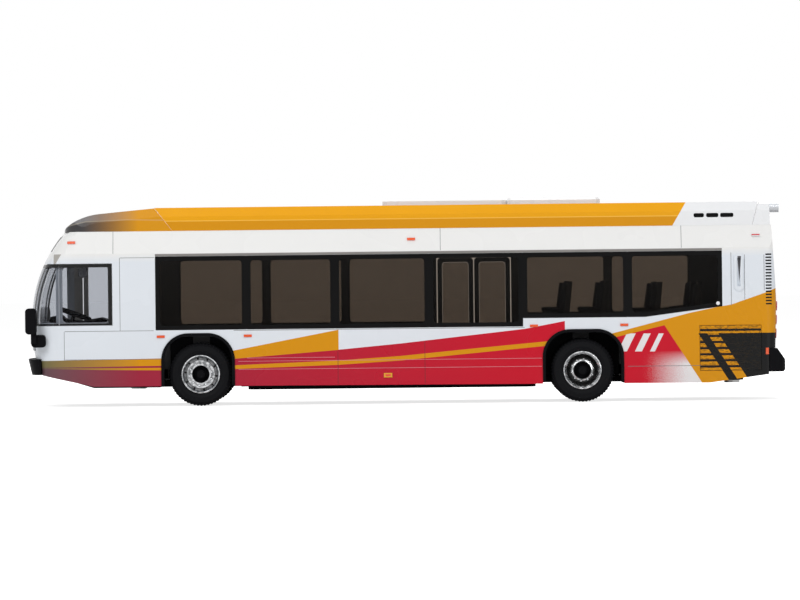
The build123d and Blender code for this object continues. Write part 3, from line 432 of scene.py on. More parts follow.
def front_stripes(paint, colour):
    """The red field with its gold wedge and pinstripe, all fading to smoke grey at the nose."""
    near_red = paint.mix(paint.math("POWER", paint.run(*RED_RUN), 0.55), PLUM, RED)
    smoke = paint.run(*SMOKE_RUN)
    print_red = paint.mix(paint.times(smoke, 0.7), near_red, SMOKE)
    print_gold = paint.mix(paint.math("POWER", smoke, 0.8), GOLD, SMOKED_GOLD)
    ahead = paint.below(paint.x, photo_x(RED_END_PX))
    red = paint.both(paint.under(photo_line(RED_TOP_PX)), ahead)
    wedge = paint.both(
        paint.under(photo_line(WEDGE_TOP_PX)),
        paint.over(photo_line(WEDGE_FOOT_PX)),
        paint.below(paint.x, photo_x(WEDGE_END_PX)),
    )
    pin = paint.both(
        paint.under([photo(px, top) for px, top, foot in PIN_PX]),
        paint.over([photo(px, foot) for px, top, foot in PIN_PX]),
        ahead,
    )
    colour = paint.mix(red, colour, print_red)
    colour = paint.mix(wedge, colour, print_gold)
    return paint.mix(pin, colour, print_gold)


def slanted(foot, head, width_px):
    """The front and rear lines of a slanted bar."""
    across = width_px * PX
    return (foot, head), ((foot[0] + across, foot[1]), (head[0] + across, head[1]))


def tail_print(paint, colour):
    """Behind the rear axle: a red corner with white bars that pales at its foot, and banded gold."""
    sweep = paint.under(photo_line(SWEEP_TOP_PX))
    behind = paint.above(paint.x, photo_x(SWEEP_START_PX))
    colour = paint.mix(paint.both(sweep, behind), colour, GOLD)
    edge_foot, edge_head = photo_line(GOLD_EDGE_PX)
    on_gold = paint.side_of(edge_foot, edge_head)
    red_corner = paint.under(photo_line(SWEEP_FOOT_PX))
    red_corner = paint.both(red_corner, behind, paint.minus(1.0, on_gold))
    rearward = paint.math("DIVIDE", paint.minus(paint.x, PALE_X * MM), PALE_LENGTH * MM)
    grain = paint.add(paint.times(paint.noise(0.12), PALE_GRAIN), rearward)
    pale_grain = paint.edge(paint.minus(grain, PALE_LEVEL), PALE_LEVEL_SOFT)
    paling = paint.both(paint.below(paint.z, PALE_Z, PALE_SOFT), pale_grain)
    colour = paint.mix(red_corner, colour, paint.mix(paling, RED, PRINT_WHITE))
    for start, width in WHITE_BARS_PX:
        foot = photo(start, BAR_FOOT_PX)
        head = photo(start + BAR_LEAN_PX, BAR_HEAD_PX)
        bar = paint.strip(*slanted(foot, head, width))
        bar = paint.both(bar, red_corner, paint.between(paint.z, foot[1], head[1]))
        colour = paint.mix(bar, colour, PRINT_WHITE)
    gold_tail = paint.both(sweep, on_gold, behind)
    (foot_px, foot_row), (head_px, head_row) = GOLD_EDGE_PX
    for start, width in BLACK_BANDS_PX:
        foot = photo(start, foot_row)
        head = photo(start + head_px - foot_px, head_row)
        band = paint.both(
            paint.strip(*slanted(foot, head, width)),
            gold_tail,
            paint.below(paint.z, photo_z(*BAND_HEAD_PX)),
        )
        colour = paint.mix(band, colour, BLACK)
    return colour


def tail_shade_and_mesh(paint, colour):
    """Painted shade in the gaps of the side grille, the slots of the corner louvre and the scoop's
    throat, with the grille's printed mesh.
    """
    driver_side = paint.below(paint.y, 0.0)
    grille = paint.both(paint.patch(GRILLE_X, GRILLE_Z), driver_side)
    slat = paint.wave(GRILLE_Z[0], SLAT_PITCH)
    past_foot = paint.math("GREATER_THAN", slat, SLAT_GAP[0])
    under_head = paint.math("LESS_THAN", slat, SLAT_GAP[1])
    # the grille's gaps painted black as painted shade
    colour = paint.mix(paint.both(grille, past_foot, under_head), colour, BLACK)
    mesh = paint.math("GREATER_THAN", paint.noise(0.2, 1.0, (0.3, 1, 1)), MESH_LEVEL)
    colour = paint.mix(paint.times(paint.both(grille, mesh), 0.5), colour, (0.02, 0.012, 0.003))
    louvre = paint.both(paint.patch(LOUVRE_X, LOUVRE_Z), driver_side)
    slot = paint.math("LESS_THAN", paint.wave(LOUVRE_Z[0], LOUVRE_PITCH), LOUVRE_GAP)
    # the louvre's slots painted black as painted shade
    colour = paint.mix(paint.both(louvre, slot), colour, BLACK)
    foot, front_head, rear_head = photo_line(SCOOP_THROAT_PX)
    throat = paint.both(
        paint.strip((foot, front_head), (foot, rear_head)),
        paint.between(paint.z, foot[1], front_head[1]),
        driver_side,
    )
    # the throat painted grey as painted shade
    return paint.mix(throat, colour, THROAT_SHADE)


def inside_shade(paint, colour):
    """Nothing is printed inside: the inside is painted dark grey as painted shade, paler round the
    driver as painted light, and the nose ledge grey as painted shade.
    """
    outside = paint.either(
        paint.above(paint.math("ABSOLUTE", paint.y), PRINTED_Y),
        paint.below(paint.x, NOSE_X),
        paint.above(paint.x, TAIL_X),
        paint.above(paint.z, COVE_FOOT),
    )
    past_driver = paint.above(paint.x, DRIVER_END_X, DRIVER_END_SOFT)
    # inside: painted shade, lighter round the driver as painted light
    colour = paint.mix(outside, paint.mix(past_driver, LIT_INSIDE, SHADED_INSIDE), colour)
    return paint.mix(paint.patch(LEDGE_X, LEDGE_Z), colour, LEDGE_SHADE)


def enamelled(paint, colour, rough, spot):
    """Gives a paint its colour and a faintly wavy gloss; rough is a pair, low and high."""
    paint.colour(colour)
    paint.rough(*rough, spot)
    paint.bump(paint.noise(0.9, 3.0), 0.006)
    return paint.material


def body_paint():
    """White enamel with the printed stripes of the lower body and the tail, a lighter cove as
    painted light, and painted shade in the tail's openings and inside the body.
    """
    paint = Paint("body_paint", WHITE, 0.3, coat=0.06)
    paint.shine(0.2)
    # lit and shaded copies of the one white: painted shade on the lower body, painted light on the
    # cove
    shaded_low_white = paint.mix(paint.noise(9.0), (0.74, 0.78, 0.83), (0.77, 0.81, 0.86))
    lit_cove_white = paint.mix(paint.noise(9.0), (0.83, 0.83, 0.82), (0.86, 0.86, 0.85))
    colour = paint.mix(paint.above(paint.z, COVE_LIGHT_Z, COVE_LIGHT_SOFT), shaded_low_white, lit_cove_white)
    for layer in (front_stripes, tail_print, tail_shade_and_mesh, inside_shade):
        colour = layer(paint, colour)
    return enamelled(paint, colour, (0.22, 0.34), 12.0)


body_finish = body_paint()


GLASS_ROUGH = 0.08
GLASS_IOR = 1.3
GLASS_SHINE = 0.5


def glazing_shader(paint, tint):
    """Lets light straight through and shines a little; returns its output."""
    clear = paint.node("BsdfTransparent")
    clear.inputs[0].default_value = (*tint, 1)
    shine = paint.node("BsdfGlossy")
    shine.inputs["Roughness"].default_value = GLASS_ROUGH
    shine.inputs["Color"].default_value = (0.9, 0.9, 0.9, 1)
    fresnel = paint.node("Fresnel")
    fresnel.inputs["IOR"].default_value = GLASS_IOR
    share = paint.times(fresnel.outputs[0], GLASS_SHINE)
    return paint.blend(share, clear.outputs[0], shine.outputs[0])


def glazing(name, tint):
    """Tinted clear plastic glazing."""
    paint = Paint(name, (0.02, 0.02, 0.02), 0.06)
    return paint.cover(glazing_shader(paint, tint))


CLEAR_TINT = (0.80, 0.81, 0.83)
side_glass = glazing("side_glass", (0.475, 0.44, 0.405))
door_glass = glazing("door_glass", CLEAR_TINT)
sign_glass = glazing("sign_glass", (0.03, 0.03, 0.03))


# Printed border of the nose glazing, with an upright band at each corner
BORDER_TOP_Z = 26.4
BORDER_FOOT_Z = 15.8
BORDER_REAR_X = -55.75
CORNER_BAND_Y = (12.35, 12.95)


def printed_nose_glass():
    """Clear glazing with its printed border; one material serves both panes of the nose."""
    paint = Paint("nose_glass", BLACK, 0.3)
    paint.shine(0.3)
    width = paint.math("ABSOLUTE", paint.y)
    printed = paint.either(
        paint.between(width, *CORNER_BAND_Y),
        paint.above(paint.z, BORDER_TOP_Z),
        paint.below(paint.z, BORDER_FOOT_Z),
        paint.above(paint.x, BORDER_REAR_X),
    )
    clear = glazing_shader(paint, CLEAR_TINT)
    return paint.cover(paint.blend(printed, clear, paint.shader.outputs[0]))


nose_glass = printed_nose_glass()


# How strongly the painted reflections, bright and dull patches of a rim, differ
REFLECTION_CONTRAST = 5.0
# Dark rings of painted shade in each rim's deep parts and round its nuts: radius from and to, and
# how dark
RIM_SHADE = {
    "front": [(2.64, 3.04, 0.72), (1.92, 2.26, 0.4), (0.0, 1.66, 1.0)],
    "rear": [(2.0, 2.95, 0.985), (0.0, 1.72, 1.0)],
}


def rim_paint(end):
    """Polished alloy with painted reflections in bright and dull patches, and painted shade in dark
    rings over its deep parts and round the nuts.
    """
    paint = Paint(f"{end}_rim_paint", (0.72, 0.73, 0.74), 0.14, metal=1.0)
    axle_x = WHEELS[end][0]
    across = paint.minus(paint.x, axle_x * MM)
    up = paint.minus(paint.z, WHEEL_Z * MM)
    radius = paint.math("SQRT", paint.add(paint.times(across, across), paint.times(up, up)))
    # painted reflections: bright and dull patches of the alloy
    spots = paint.times(paint.minus(paint.noise(0.6, 3.0), 0.5), REFLECTION_CONTRAST)
    reflection_patches = paint.math("ADD", spots, 0.5, clamp=True)
    reflection_colour = paint.mix(reflection_patches, (0.30, 0.31, 0.32), (0.80, 0.81, 0.83))
    metal = 1.0
    # dark rings of painted shade
    for inner, outer, share in RIM_SHADE[end]:
        ring = paint.times(paint.between(radius, inner, outer), share)
        reflection_colour = paint.mix(ring, reflection_colour, (0.01, 0.01, 0.01))
        metal = paint.times(paint.minus(1.0, ring), metal)
    paint.colour(reflection_colour)
    paint.feed(paint.shader.inputs["Metallic"], metal)
    paint.rough(0.10, 0.22, 0.8)
    paint.bump(paint.noise(0.5, 3.0), 0.01)
    return paint.material


rim_finishes = {end: rim_paint(end) for end in WHEELS}


# The fairings' crease, and the slanted edge where their gold ends
FAIRING_TOP = 37.48
FAIRING_CREASE = 34.95
GOLD_END = ((50.7, ROOF), (53.3, FAIRING_TOP))
# The cap's crease, above which its grey is painted paler as painted light, its slanted seam, and
# where its grey runs to gold
CAP_CREASE = [(-66, 33.6), (-60, 35.0), (-52, 35.3), (-43, 35.1)]
CAP_SEAM = ((-43.7, ROOF), (-47.2, FAIRING_TOP))
CAP_RUN = (-61.0, -50.0)
CAP_SLOPE = 2.2
# A painted highlight runs along a crease over this far
CREASE_HIGHLIGHT_WIDTH = 0.09


def fairing_paint():
    """Gold to the rear seam, then white past the slanted edge; the upper face is painted lighter as
    painted light, with a painted highlight along the crease.
    """
    paint = Paint("fairing_paint", GOLD, 0.3, coat=0.06)
    paint.shine(0.2)
    # the upper face painted lighter gold as painted light, and a painted highlight along the crease
    lit_upper = paint.mix(paint.noise(8.0), (0.80, 0.35, 0.003), (0.84, 0.38, 0.004))
    gold = paint.mix(paint.above(paint.z, FAIRING_CREASE, 0.1), (0.68, 0.285, 0.002), lit_upper)
    crease_highlight = paint.math("ABSOLUTE", paint.minus(paint.z, FAIRING_CREASE * MM))
    gold = paint.mix(paint.below(crease_highlight, CREASE_HIGHLIGHT_WIDTH, 0.06), gold, (0.88, 0.48, 0.06))
    return enamelled(paint, paint.mix(paint.side_of(*GOLD_END), gold, WHITE), (0.24, 0.36), 10.0)


def cap_paint():
    """Dark grey at the tip, running to gold at the seam; paler above the crease as painted light,
    with a painted highlight along the crease.
    """
    paint = Paint("cap_paint", GOLD, 0.3, coat=0.06)
    paint.shine(0.25)
    dark = paint.mix(paint.noise(5.0), (0.04, 0.038, 0.04), (0.06, 0.057, 0.058))
    # paler grey above the crease, painted light
    lit_grey = paint.mix(paint.noise(3.0), (0.13, 0.125, 0.13), (0.19, 0.185, 0.19))
    past_crease = paint.minus(paint.z, paint.height(CAP_CREASE))
    lit_upper = paint.math("ADD", paint.times(past_crease, CAP_SLOPE / MM), 0.5, clamp=True)
    grey = paint.mix(lit_upper, dark, lit_grey)
    colour = paint.mix(paint.math("POWER", paint.run(*CAP_RUN), 1.6), grey, (0.68, 0.29, 0.002))
    crease_highlight = paint.below(paint.math("ABSOLUTE", past_crease), CREASE_HIGHLIGHT_WIDTH, 0.08)
    colour = paint.mix(paint.times(crease_highlight, 0.25), colour, (0.7, 0.62, 0.45))
    return enamelled(paint, paint.mix(paint.side_of(*CAP_SEAM), colour, GOLD), (0.24, 0.36), 10.0)


# The finish of each node that shows
FINISHES = [
    (body_finish, ["body_shell", "front_door", "rear_door", "side_grille", "engine_door"]),
    (cap_paint(), ["front_roof_cap"]),
    (fairing_paint(), ["left_fairing", "right_fairing"]),
    (white_paint, ["rear_roof_cap", "roof_equipment"]),
    (black_trim, ["front_bumper", "rear_bumper", "fender_trims", "left_mirror", "right_mirror"]),
    (black_trim, ["chassis", "front_axle", "rear_axle", "dashboard", "steering_wheel"]),
    (steel, ["base_screws"]),
    (grey_floor, ["interior_floor"]),
    (seat_plastic, ["passenger_seats", "driver_seat"]),
    (side_glass, ["left_windows", "right_windows", "rear_door_glass"]),
    (nose_glass, ["windshield", "driver_window"]),
    (door_glass, ["front_door_glass"]),
    (sign_glass, ["sign_glass"]),
    (silver, ["headlamps", "exhaust_outlet"]),
    (marker_finish, ["marker_lamps"]),
    (red_lens, ["tail_lamps"]),
    (rim_finishes["front"], ["front_rim_left", "front_rim_right"]),
    (rim_finishes["rear"], ["rear_rim_left", "rear_rim_right"]),
    (rubber, ["front_tyres_left", "front_tyres_right", "rear_tyres_left", "rear_tyres_right"]),
]
for finish, names in FINISHES:
    for name in names:
        nodes[name].data.materials.clear()
        nodes[name].data.materials.append(finish)


# Mesh helpers


def placed(name, data):
    """A new object in the scene."""
    made = bpy.data.objects.new(name, data)
    bpy.context.scene.collection.objects.link(made)
    return made


def rectangle(low_x, low_y, high_x, high_y):
    return [(low_x, low_y), (high_x, low_y), (high_x, high_y), (low_x, high_y)]


class Shape:
    """Points and faces of one piece, in millimetres."""

    def __init__(self):
        self.points = []
        self.faces = []

    def rings(self, rings, caps=False):
        """Skins a list of loops that have the same number of points."""
        count = len(rings[0])
        faces = []
        for level in range(len(rings) - 1):
            for index in range(count):
                after = (index + 1) % count
                a, b = level * count, (level + 1) * count
                faces.append((a + index, a + after, b + after, b + index))
        if caps:
            faces.append(tuple(reversed(range(count))))
            faces.append(tuple(range((len(rings) - 1) * count, len(rings) * count)))
        start = len(self.points)
        self.points += [point for ring in rings for point in ring]
        self.faces += [tuple(start + index for index in face) for face in faces]

    def plate(self, outline, low_y, high_y):
        """A side outline of (x, z) points, carried from one width to another."""
        self.rings([[(x, y, z) for x, z in outline] for y in (low_y, high_y)], caps=True)

    def frame(self, outer, inner, low_y, high_y):
        """A flat ring between two outlines with the same number of points."""
        loops = [(outer, low_y), (inner, low_y), (inner, high_y), (outer, high_y), (outer, low_y)]
        self.rings([[(x, y, z) for x, z in outline] for outline, y in loops])

    def block(self, low, high):
        (ax, ay, az), (bx, by, bz) = low, high
        self.plate(rectangle(ax, az, bx, bz), ay, by)

    def piece(self, name, material, slot, body="root", smooth=False, bevel=0.0):
        """Makes the object, with its faces turned outwards, and puts it on a body."""
        mesh = bpy.data.meshes.new(name)
        mesh.from_pydata([Vector(point) * MM for point in self.points], [], self.faces)
        work = bmesh.new()
        work.from_mesh(mesh)
        bmesh.ops.recalc_face_normals(work, faces=work.faces)
        work.to_mesh(mesh)
        work.free()
        mesh.materials.append(material)
        made = placed(name, mesh)
        if smooth:
            for polygon in mesh.polygons:
                polygon.use_smooth = True
        if bevel:
            rounding = made.modifiers.new("rounding", "BEVEL")
            rounding.width = bevel * MM
            rounding.segments = 2
            rounding.limit_method = "ANGLE"
        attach(made, body)
        return made


SHARP = math.radians(35)


def soften(made):
    """Edges of a smooth piece stay sharp where its faces meet at more than SHARP."""
    work = bmesh.new()
    work.from_mesh(made.data)
    for edge in work.edges:
        if len(edge.link_faces) == 2 and edge.calc_face_angle() > SHARP:
            edge.smooth = False
    work.to_mesh(made.data)
    work.free()


def circle(x, y, radius, count):
    """Points round a circle, anticlockwise."""
    turns = [math.tau * step / count for step in range(count)]
    return [(x + radius * math.cos(turn), y + radius * math.sin(turn)) for turn in turns]


def with_neighbours(outline):
    """Each point of a closed outline between those before and after it, as vectors."""
    points = [Vector(point) for point in outline]
    return zip(points[-1:] + points[:-1], points, points[1:] + points[:1])


def drawn_in(outline, depth):
    """The outline with every side moved inwards by depth; the outline runs anticlockwise."""
    result = []
    for before, here, after in with_neighbours(outline):
        along = (here - before).normalized() + (after - here).normalized()
        inwards = Vector((-along.y, along.x))
        result.append(tuple(here + inwards * (2 * depth / inwards.length_squared)))
    return result


def rounded(outline, radius, steps=5):
    """The outline with each corner as an arc; every corner gives steps + 1 points."""
    result = []
    for before, here, after in with_neighbours(outline):
        to_before = (before - here).normalized()
        to_after = (after - here).normalized()
        half = to_before.angle(to_after) / 2
        reach = min(radius / math.tan(half), (before - here).length / 2, (after - here).length / 2)
        start, end = here + to_before * reach, here + to_after * reach
        for step in range(steps + 1):
            share = step / steps
            arc = start * (1 - share) ** 2 + here * 2 * share * (1 - share) + end * share**2
            result.append(tuple(arc))
    return result


def window_outline(front, rear):
    """Corners of a side window, anticlockwise; the foot steps up and slopes towards the rear."""
    low = RAISED_FOOT if front >= RAISED_X else WINDOW_FOOT
    slope = (REAR_FOOT - RAISED_FOOT) / (SLOPE_END_X - SLOPE_X)
    corners = [(front, low)]
    if rear > SLOPE_X:
        corners += [(SLOPE_X, RAISED_FOOT), (rear, RAISED_FOOT + slope * (rear - SLOPE_X))]
    else:
        corners.append((rear, low))
    return corners + [(rear, WINDOW_TOP), (front, WINDOW_TOP)]


# Printed black borders of the side windows: width, corners inside and outside, and thickness
BORDER = 0.85
BORDER_RADIUS = 0.7
BORDER_CORNER = 0.15
PRINT = 0.02


def window_borders():
    shape = Shape()
    for side, windows in ((-1, LEFT_WINDOWS_X), (1, RIGHT_WINDOWS_X)):
        for front, rear in windows:
            outer = window_outline(front, rear)
            shape.frame(
                rounded(outer, BORDER_CORNER),
                rounded(drawn_in(outer, BORDER), BORDER_RADIUS),
                side * HALF_WIDTH,
                side * (HALF_WIDTH + PRINT),
            )
    shape.piece("window_borders", black_print, "black_plastic")


window_borders()


# Panel seams: half their width, and how far they stand proud
SEAM = 0.045
SEAM_PROUD = 0.012
# Upright seams: column, foot row and head row of the photograph
UPRIGHT_SEAMS_PX = [
    (63.5, 332.5, 361), (119.5, 331.5, 258.5), (337, 352, 384.5), (424, 342, 384),
    (731, 253, 306), (744.5, 255, 300), (764, 255, 291),
]
# Level seams: first column, last column, row at the first column
LEVEL_SEAMS_PX = [
    (64, 160, 360.6), (64, 153, 332.2), (120, 154, 258.5), (233, 524, 331),
    (627, 700, 366.8),
]
# Painted highlights along the moulded lines of the skirt, in the same columns
SKIRT_HIGHLIGHTS_PX = [(246, 334, 358.6), (237.5, 541, 361.9), (237.5, 541, 370)]
COVE_SEAMS_PX = [113, 440.5, 681.5]
SEAM_RED_START_PX = 163
SHORTEST_SEAM = 4.0
# Doors of the kerb side, which no seam crosses
DOORS_X = [(-62.9, -49.7), (4.9, 22.7)]


def clear_runs(front, rear, side, shortest):
    """The parts of a run that miss the doors of that side and aren't mere stubs."""
    runs = [(front, rear)]
    for door_front, door_rear in DOORS_X if side > 0 else []:
        parts = []
        for start, end in runs:
            parts += [(start, min(end, door_front)), (max(start, door_rear), end)]
        runs = [(start, end) for start, end in parts if end - start > shortest]
    return runs


def seam_paint():
    """Grey on the white panels and dark red across the red field."""
    paint = Paint("seam_paint", (0.16, 0.16, 0.17), 0.6)
    red_field = paint.both(
        paint.under(photo_line(RED_TOP_PX)),
        paint.between(paint.x, photo_x(SEAM_RED_START_PX), photo_x(RED_END_PX)),
    )
    grey = paint.mix(paint.noise(3.0), (0.14, 0.14, 0.15), (0.18, 0.18, 0.19))
    paint.colour(paint.mix(red_field, grey, (0.13, 0.003, 0.01)))
    return paint.material


def panel_seams():
    shape, highlight_lines = Shape(), Shape()
    for side in (-1, 1):
        y_low, y_high = side * (HALF_WIDTH - SEAM), side * (HALF_WIDTH + SEAM_PROUD)
        for px, foot_px, head_px in UPRIGHT_SEAMS_PX:
            low_z, high_z = sorted((photo_z(px, foot_px), photo_z(px, head_px)))
            x = photo_x(px)
            if clear_runs(x - SEAM, x + SEAM, side, SEAM):
                shape.block((x - SEAM, y_low, low_z), (x + SEAM, y_high, high_z))
        for target, table in ((shape, LEVEL_SEAMS_PX), (highlight_lines, SKIRT_HIGHLIGHTS_PX)):
            for first_px, last_px, row in table:
                z = photo_z(first_px, row)
                front, rear = photo_x(first_px), photo_x(last_px)
                for start, end in clear_runs(front, rear, side, SHORTEST_SEAM):
                    target.block((start, y_low, z - SEAM), (end, y_high, z + SEAM))
        # seams up the cove, which leans in from its foot to the roof
        for px in COVE_SEAMS_PX:
            low_x, high_x = photo_x(px) - SEAM, photo_x(px) + SEAM
            loops = []
            for z, half_width in ((COVE_FOOT, COVE_FOOT_HALF), (ROOF, ROOF_HALF_WIDTH)):
                outer_y = side * (half_width + SEAM_PROUD)
                inner_y = outer_y - side * SEAM
                loops.append([(x, y, z) for x, y in rectangle(low_x, outer_y, high_x, inner_y)])
            shape.rings(loops, caps=True)
    shape.piece("panel_seams", seam_paint(), "black_plastic")
    # the skirt's pale lines are painted highlights
    highlight_lines.piece("skirt_line_highlights", skirt_highlight_paint, "body_paint")


panel_seams()


# The grey gutter over the windows, partly a painted shadow band, dark plates behind the roof vents
# as painted shade, and the last pane's white stud
VENTS_X = [(54.74, 56.71), (57.11, 59.43), (59.75, 62.27)]
VENT_Z = (34.5, 35.5)
VENT_SHADE_Y = (12.5, 12.88)
VENT_SHADE_REACH = 0.15
GUTTER_GAPS = (0.02, 0.12)
STUD_PX = (717.6, 303.7)
STUD_RADIUS = 0.36
STUD_HEIGHT = 0.12


def gutter_shadow_and_vent_shade():
    gutter_and_shadow, vent_shade, stud = Shape(), Shape(), Shape()
    for side in (-1, 1):
        gutter_and_shadow.block(
            (LEFT_WINDOWS_X[0][0], side * (HALF_WIDTH - SEAM), WINDOW_TOP + GUTTER_GAPS[0]),
            (LEFT_WINDOWS_X[-1][1], side * (HALF_WIDTH + PRINT), COVE_FOOT - GUTTER_GAPS[1]),
        )
        # dark plates behind the vents: painted shade
        for front, rear in VENTS_X:
            vent_shade.block(
                (front - VENT_SHADE_REACH, side * VENT_SHADE_Y[0], VENT_Z[0]),
                (rear + VENT_SHADE_REACH, side * VENT_SHADE_Y[1], VENT_Z[1]),
            )
    stud.plate(circle(*photo(*STUD_PX), STUD_RADIUS, 16), -HALF_WIDTH, -HALF_WIDTH - STUD_HEIGHT)
    gutter_and_shadow.piece("gutter_and_shadow", gutter_shadow_grey, "white_plastic")
    vent_shade.piece("vent_shade_plates", black_print, "black_plastic")
    stud.piece("pane_stud", white_paint, "white_plastic", bevel=0.04)


gutter_shadow_and_vent_shade()


# Padded seats over the moulded ones
SEAT_ROWS = [(26.5, 16.9), (33.5, 16.9), (43.5, 16.6), (51.0, 16.6)]
SEAT_DEPTH = 4.6
SEAT_WIDTH = 4.9
SEAT_BACK = 5.9
SEAT_OUTER_Y = 13.6
PAD = 0.9
PAD_INSET = 0.25
PAD_LIFT = 0.02
# The back pad: how far up it starts, and how far its head leans back and stays below the top
PAD_FOOT = 0.3
PAD_LEAN = (0.65, 0.75)
PAD_DROP = (0.4, 0.2)


def seat_pads():
    shape = Shape()
    for front, seat_z in SEAT_ROWS:
        for side in (-1, 1):
            outer_y, inner_y = SEAT_OUTER_Y - PAD_INSET, SEAT_OUTER_Y - SEAT_WIDTH + PAD_INSET
            low_y, high_y = sorted((side * outer_y, side * inner_y))
            back, top = front + SEAT_DEPTH - PAD, seat_z + SEAT_BACK
            shape.block((front, low_y, seat_z + PAD_LIFT), (back, high_y, seat_z + PAD))
            back_pad = [
                (back - PAD, seat_z + PAD_FOOT),
                (back, seat_z + PAD_FOOT),
                (back + PAD_LEAN[0], top - PAD_DROP[0]),
                (back - PAD + PAD_LEAN[1], top - PAD_DROP[1]),
            ]
            shape.plate(back_pad, low_y, high_y)
    shape.piece("seat_pads", cloth, "seat_plastic", bevel=0.3)


seat_pads()


# Inner walls of the wheel wells, ahead of and behind each axle
WELL_WALLS = {"front": (5.9, 9.3), "rear": (7.2, 5.6)}
WELL_CLEAR_X = 1.6
WELL_FOOT = 4.9
WELL_HEAD = 13.0
WELL_WALL = 0.25


def wheel_wells():
    shape = Shape()
    for end, (reach, inner_y) in WELL_WALLS.items():
        axle_x = WHEELS[end][0]
        for side in (-1, 1):
            low_y, high_y = sorted((side * inner_y, side * (inner_y - WELL_WALL)))
            for along in (-1, 1):
                low_x, high_x = sorted((axle_x + along * WELL_CLEAR_X, axle_x + along * reach))
                shape.block((low_x, low_y, WELL_FOOT), (high_x, high_y, WELL_HEAD))
    shape.piece("wheel_well_walls", black_trim, "black_plastic", bevel=0.08)


wheel_wells()


# The driver's place: a padded steering wheel, a console under it and a small inner mirror
STEERING = (-62.6, -8.0, 17.6)
STEERING_TILT = math.radians(20)
STEERING_RADIUS = 3.0
STEERING_RIM = 0.42
STEERING_COLUMN = 3.2
COLUMN_RADIUS = 0.35
# Spokes: half their width at the hub and at the rim, and half their thickness
SPOKES = 3
SPOKE_HALF = (0.55, 0.3)
SPOKE_THICK = 0.16
RIM_STEPS = 40
RIM_SIDES = 10
COLUMN_SIDES = 12
CONSOLE_SIDE = [
    (-67.4, 14.25), (-56.2, 14.25), (-56.2, 16.5), (-57.6, 16.9), (-61.0, 16.3), (-64.2, 16.6),
    (-65.2, 17.5), (-67.0, 17.1),
]
CONSOLE_Y = (-11.4, -3.4)
INNER_MIRROR = [(-61.7, 24.7), (-60.8, 24.4), (-60.0, 24.9), (-60.0, 26.3), (-61.7, 26.3)]
INNER_MIRROR_Y = (-9.6, -7.4)
MIRROR_STEM = ((-61.0, -8.6, 26.2), (-60.8, -8.4, 28.6))


def driver_place():
    wheel = Shape()
    turned = Matrix.Translation(Vector(STEERING)) @ Matrix.Rotation(STEERING_TILT, 4, "Y")
    loops = []
    for step in range(RIM_STEPS + 1):
        angle = math.tau * step / RIM_STEPS
        loop = []
        for reach, level in circle(STEERING_RADIUS, 0, STEERING_RIM, RIM_SIDES):
            point = Vector((reach * math.cos(angle), reach * math.sin(angle), level))
            loop.append(tuple(turned @ point))
        loops.append(loop)
    wheel.rings(loops)
    for number in range(SPOKES):
        spoke = turned @ Matrix.Rotation(math.tau * number / SPOKES, 4, "Z")
        ends = []
        for reach, half in zip((0.0, STEERING_RADIUS), SPOKE_HALF):
            corners = rectangle(-half, -SPOKE_THICK, half, SPOKE_THICK)
            ends.append([tuple(spoke @ Vector((reach, across, level))) for across, level in corners])
        wheel.rings(ends, caps=True)
    column = []
    section = circle(0, 0, COLUMN_RADIUS, COLUMN_SIDES)
    for level in (0.0, -STEERING_COLUMN):
        column.append([tuple(turned @ Vector((x, y, level))) for x, y in section])
    wheel.rings(column, caps=True)
    made = wheel.piece("steering_wheel_dressed", black_trim, "black_plastic", smooth=True)
    soften(made)
    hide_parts("steering_wheel")
    console, mirror = Shape(), Shape()
    console.plate(rounded(CONSOLE_SIDE, 0.5), *CONSOLE_Y)
    console.piece("driver_console", black_trim, "black_plastic", bevel=0.2)
    mirror.plate(rounded(INNER_MIRROR, 0.2), *INNER_MIRROR_Y)
    mirror.block(*MIRROR_STEM)
    mirror.piece("inner_mirror", line_dark, "black_plastic", bevel=0.1)


# Wheels: moulded tyres with a lugged tread, and bright rims with nuts round a hollow hub
WHEEL_FACE = 13.7
TYRE_WIDTH = 3.3
TWIN_GAP = 0.4
LUGS = 56
LUG_DEPTH = 0.16
# How much of a step the faces of a lug lean
LUG_LEAN = 0.25
# Tyre section: radius, distance in from its outer face, share of the lug depth cut there
TYRE_SECTION = [
    (3.6, 0.3, 0), (4.4, 0.02, 0), (5.3, 0.06, 0), (5.84, 0.4, 1), (6.03, 0.75, 1), (6.03, 2.7, 1),
    (3.6, 3.1, 0),
]
# Other sections: radius, distance in from the wheel face
INNER_SECTION = [(3.6, 0.2), (5.7, 0.2), (6.0, 0.6), (6.0, 2.8), (3.6, 3.1)]
RIM_SECTION = {
    "front": [
        (3.6, 1.2), (3.6, 0.0), (3.42, -0.02), (3.22, 0.25), (3.05, 0.8), (2.72, 0.75),
        (2.62, 0.3), (1.66, 0.3), (1.57, 0.5), (1.57, 2.0),
    ],
    "rear": [
        (3.6, 1.2), (3.57, 0.0), (3.4, -0.02), (3.05, 0.3), (2.95, 2.0), (2.7, 2.2), (2.35, 1.6),
        (2.25, 1.35), (1.9, 1.35), (1.6, 1.2), (1.57, 2.4),
    ],
}
HUB_SECTION = [(1.56, 0.6), (1.56, 1.5), (0.76, 1.5)]
# The barrel behind a rim: outer and inner radius, its start, its web and the web's inner radius
BARREL = (3.6, 3.3, 1.2, 2.4, 0.75)
INNER_TYRE_SEGMENTS = 36
RIM_SEGMENTS = 64
BARREL_SEGMENTS = 48
HUB_SEGMENTS = 32
# Rings of nuts and of the black discs painted as the hand holes' shade: radius, distance in from the
# wheel face
NUTS = 10
NUT_START = 0.3
NUT_RING = {"front": (2.08, 0.3), "rear": (2.08, 1.35)}
HOLE_RING = {"front": (2.88, 0.76), "rear": (2.62, 2.0)}
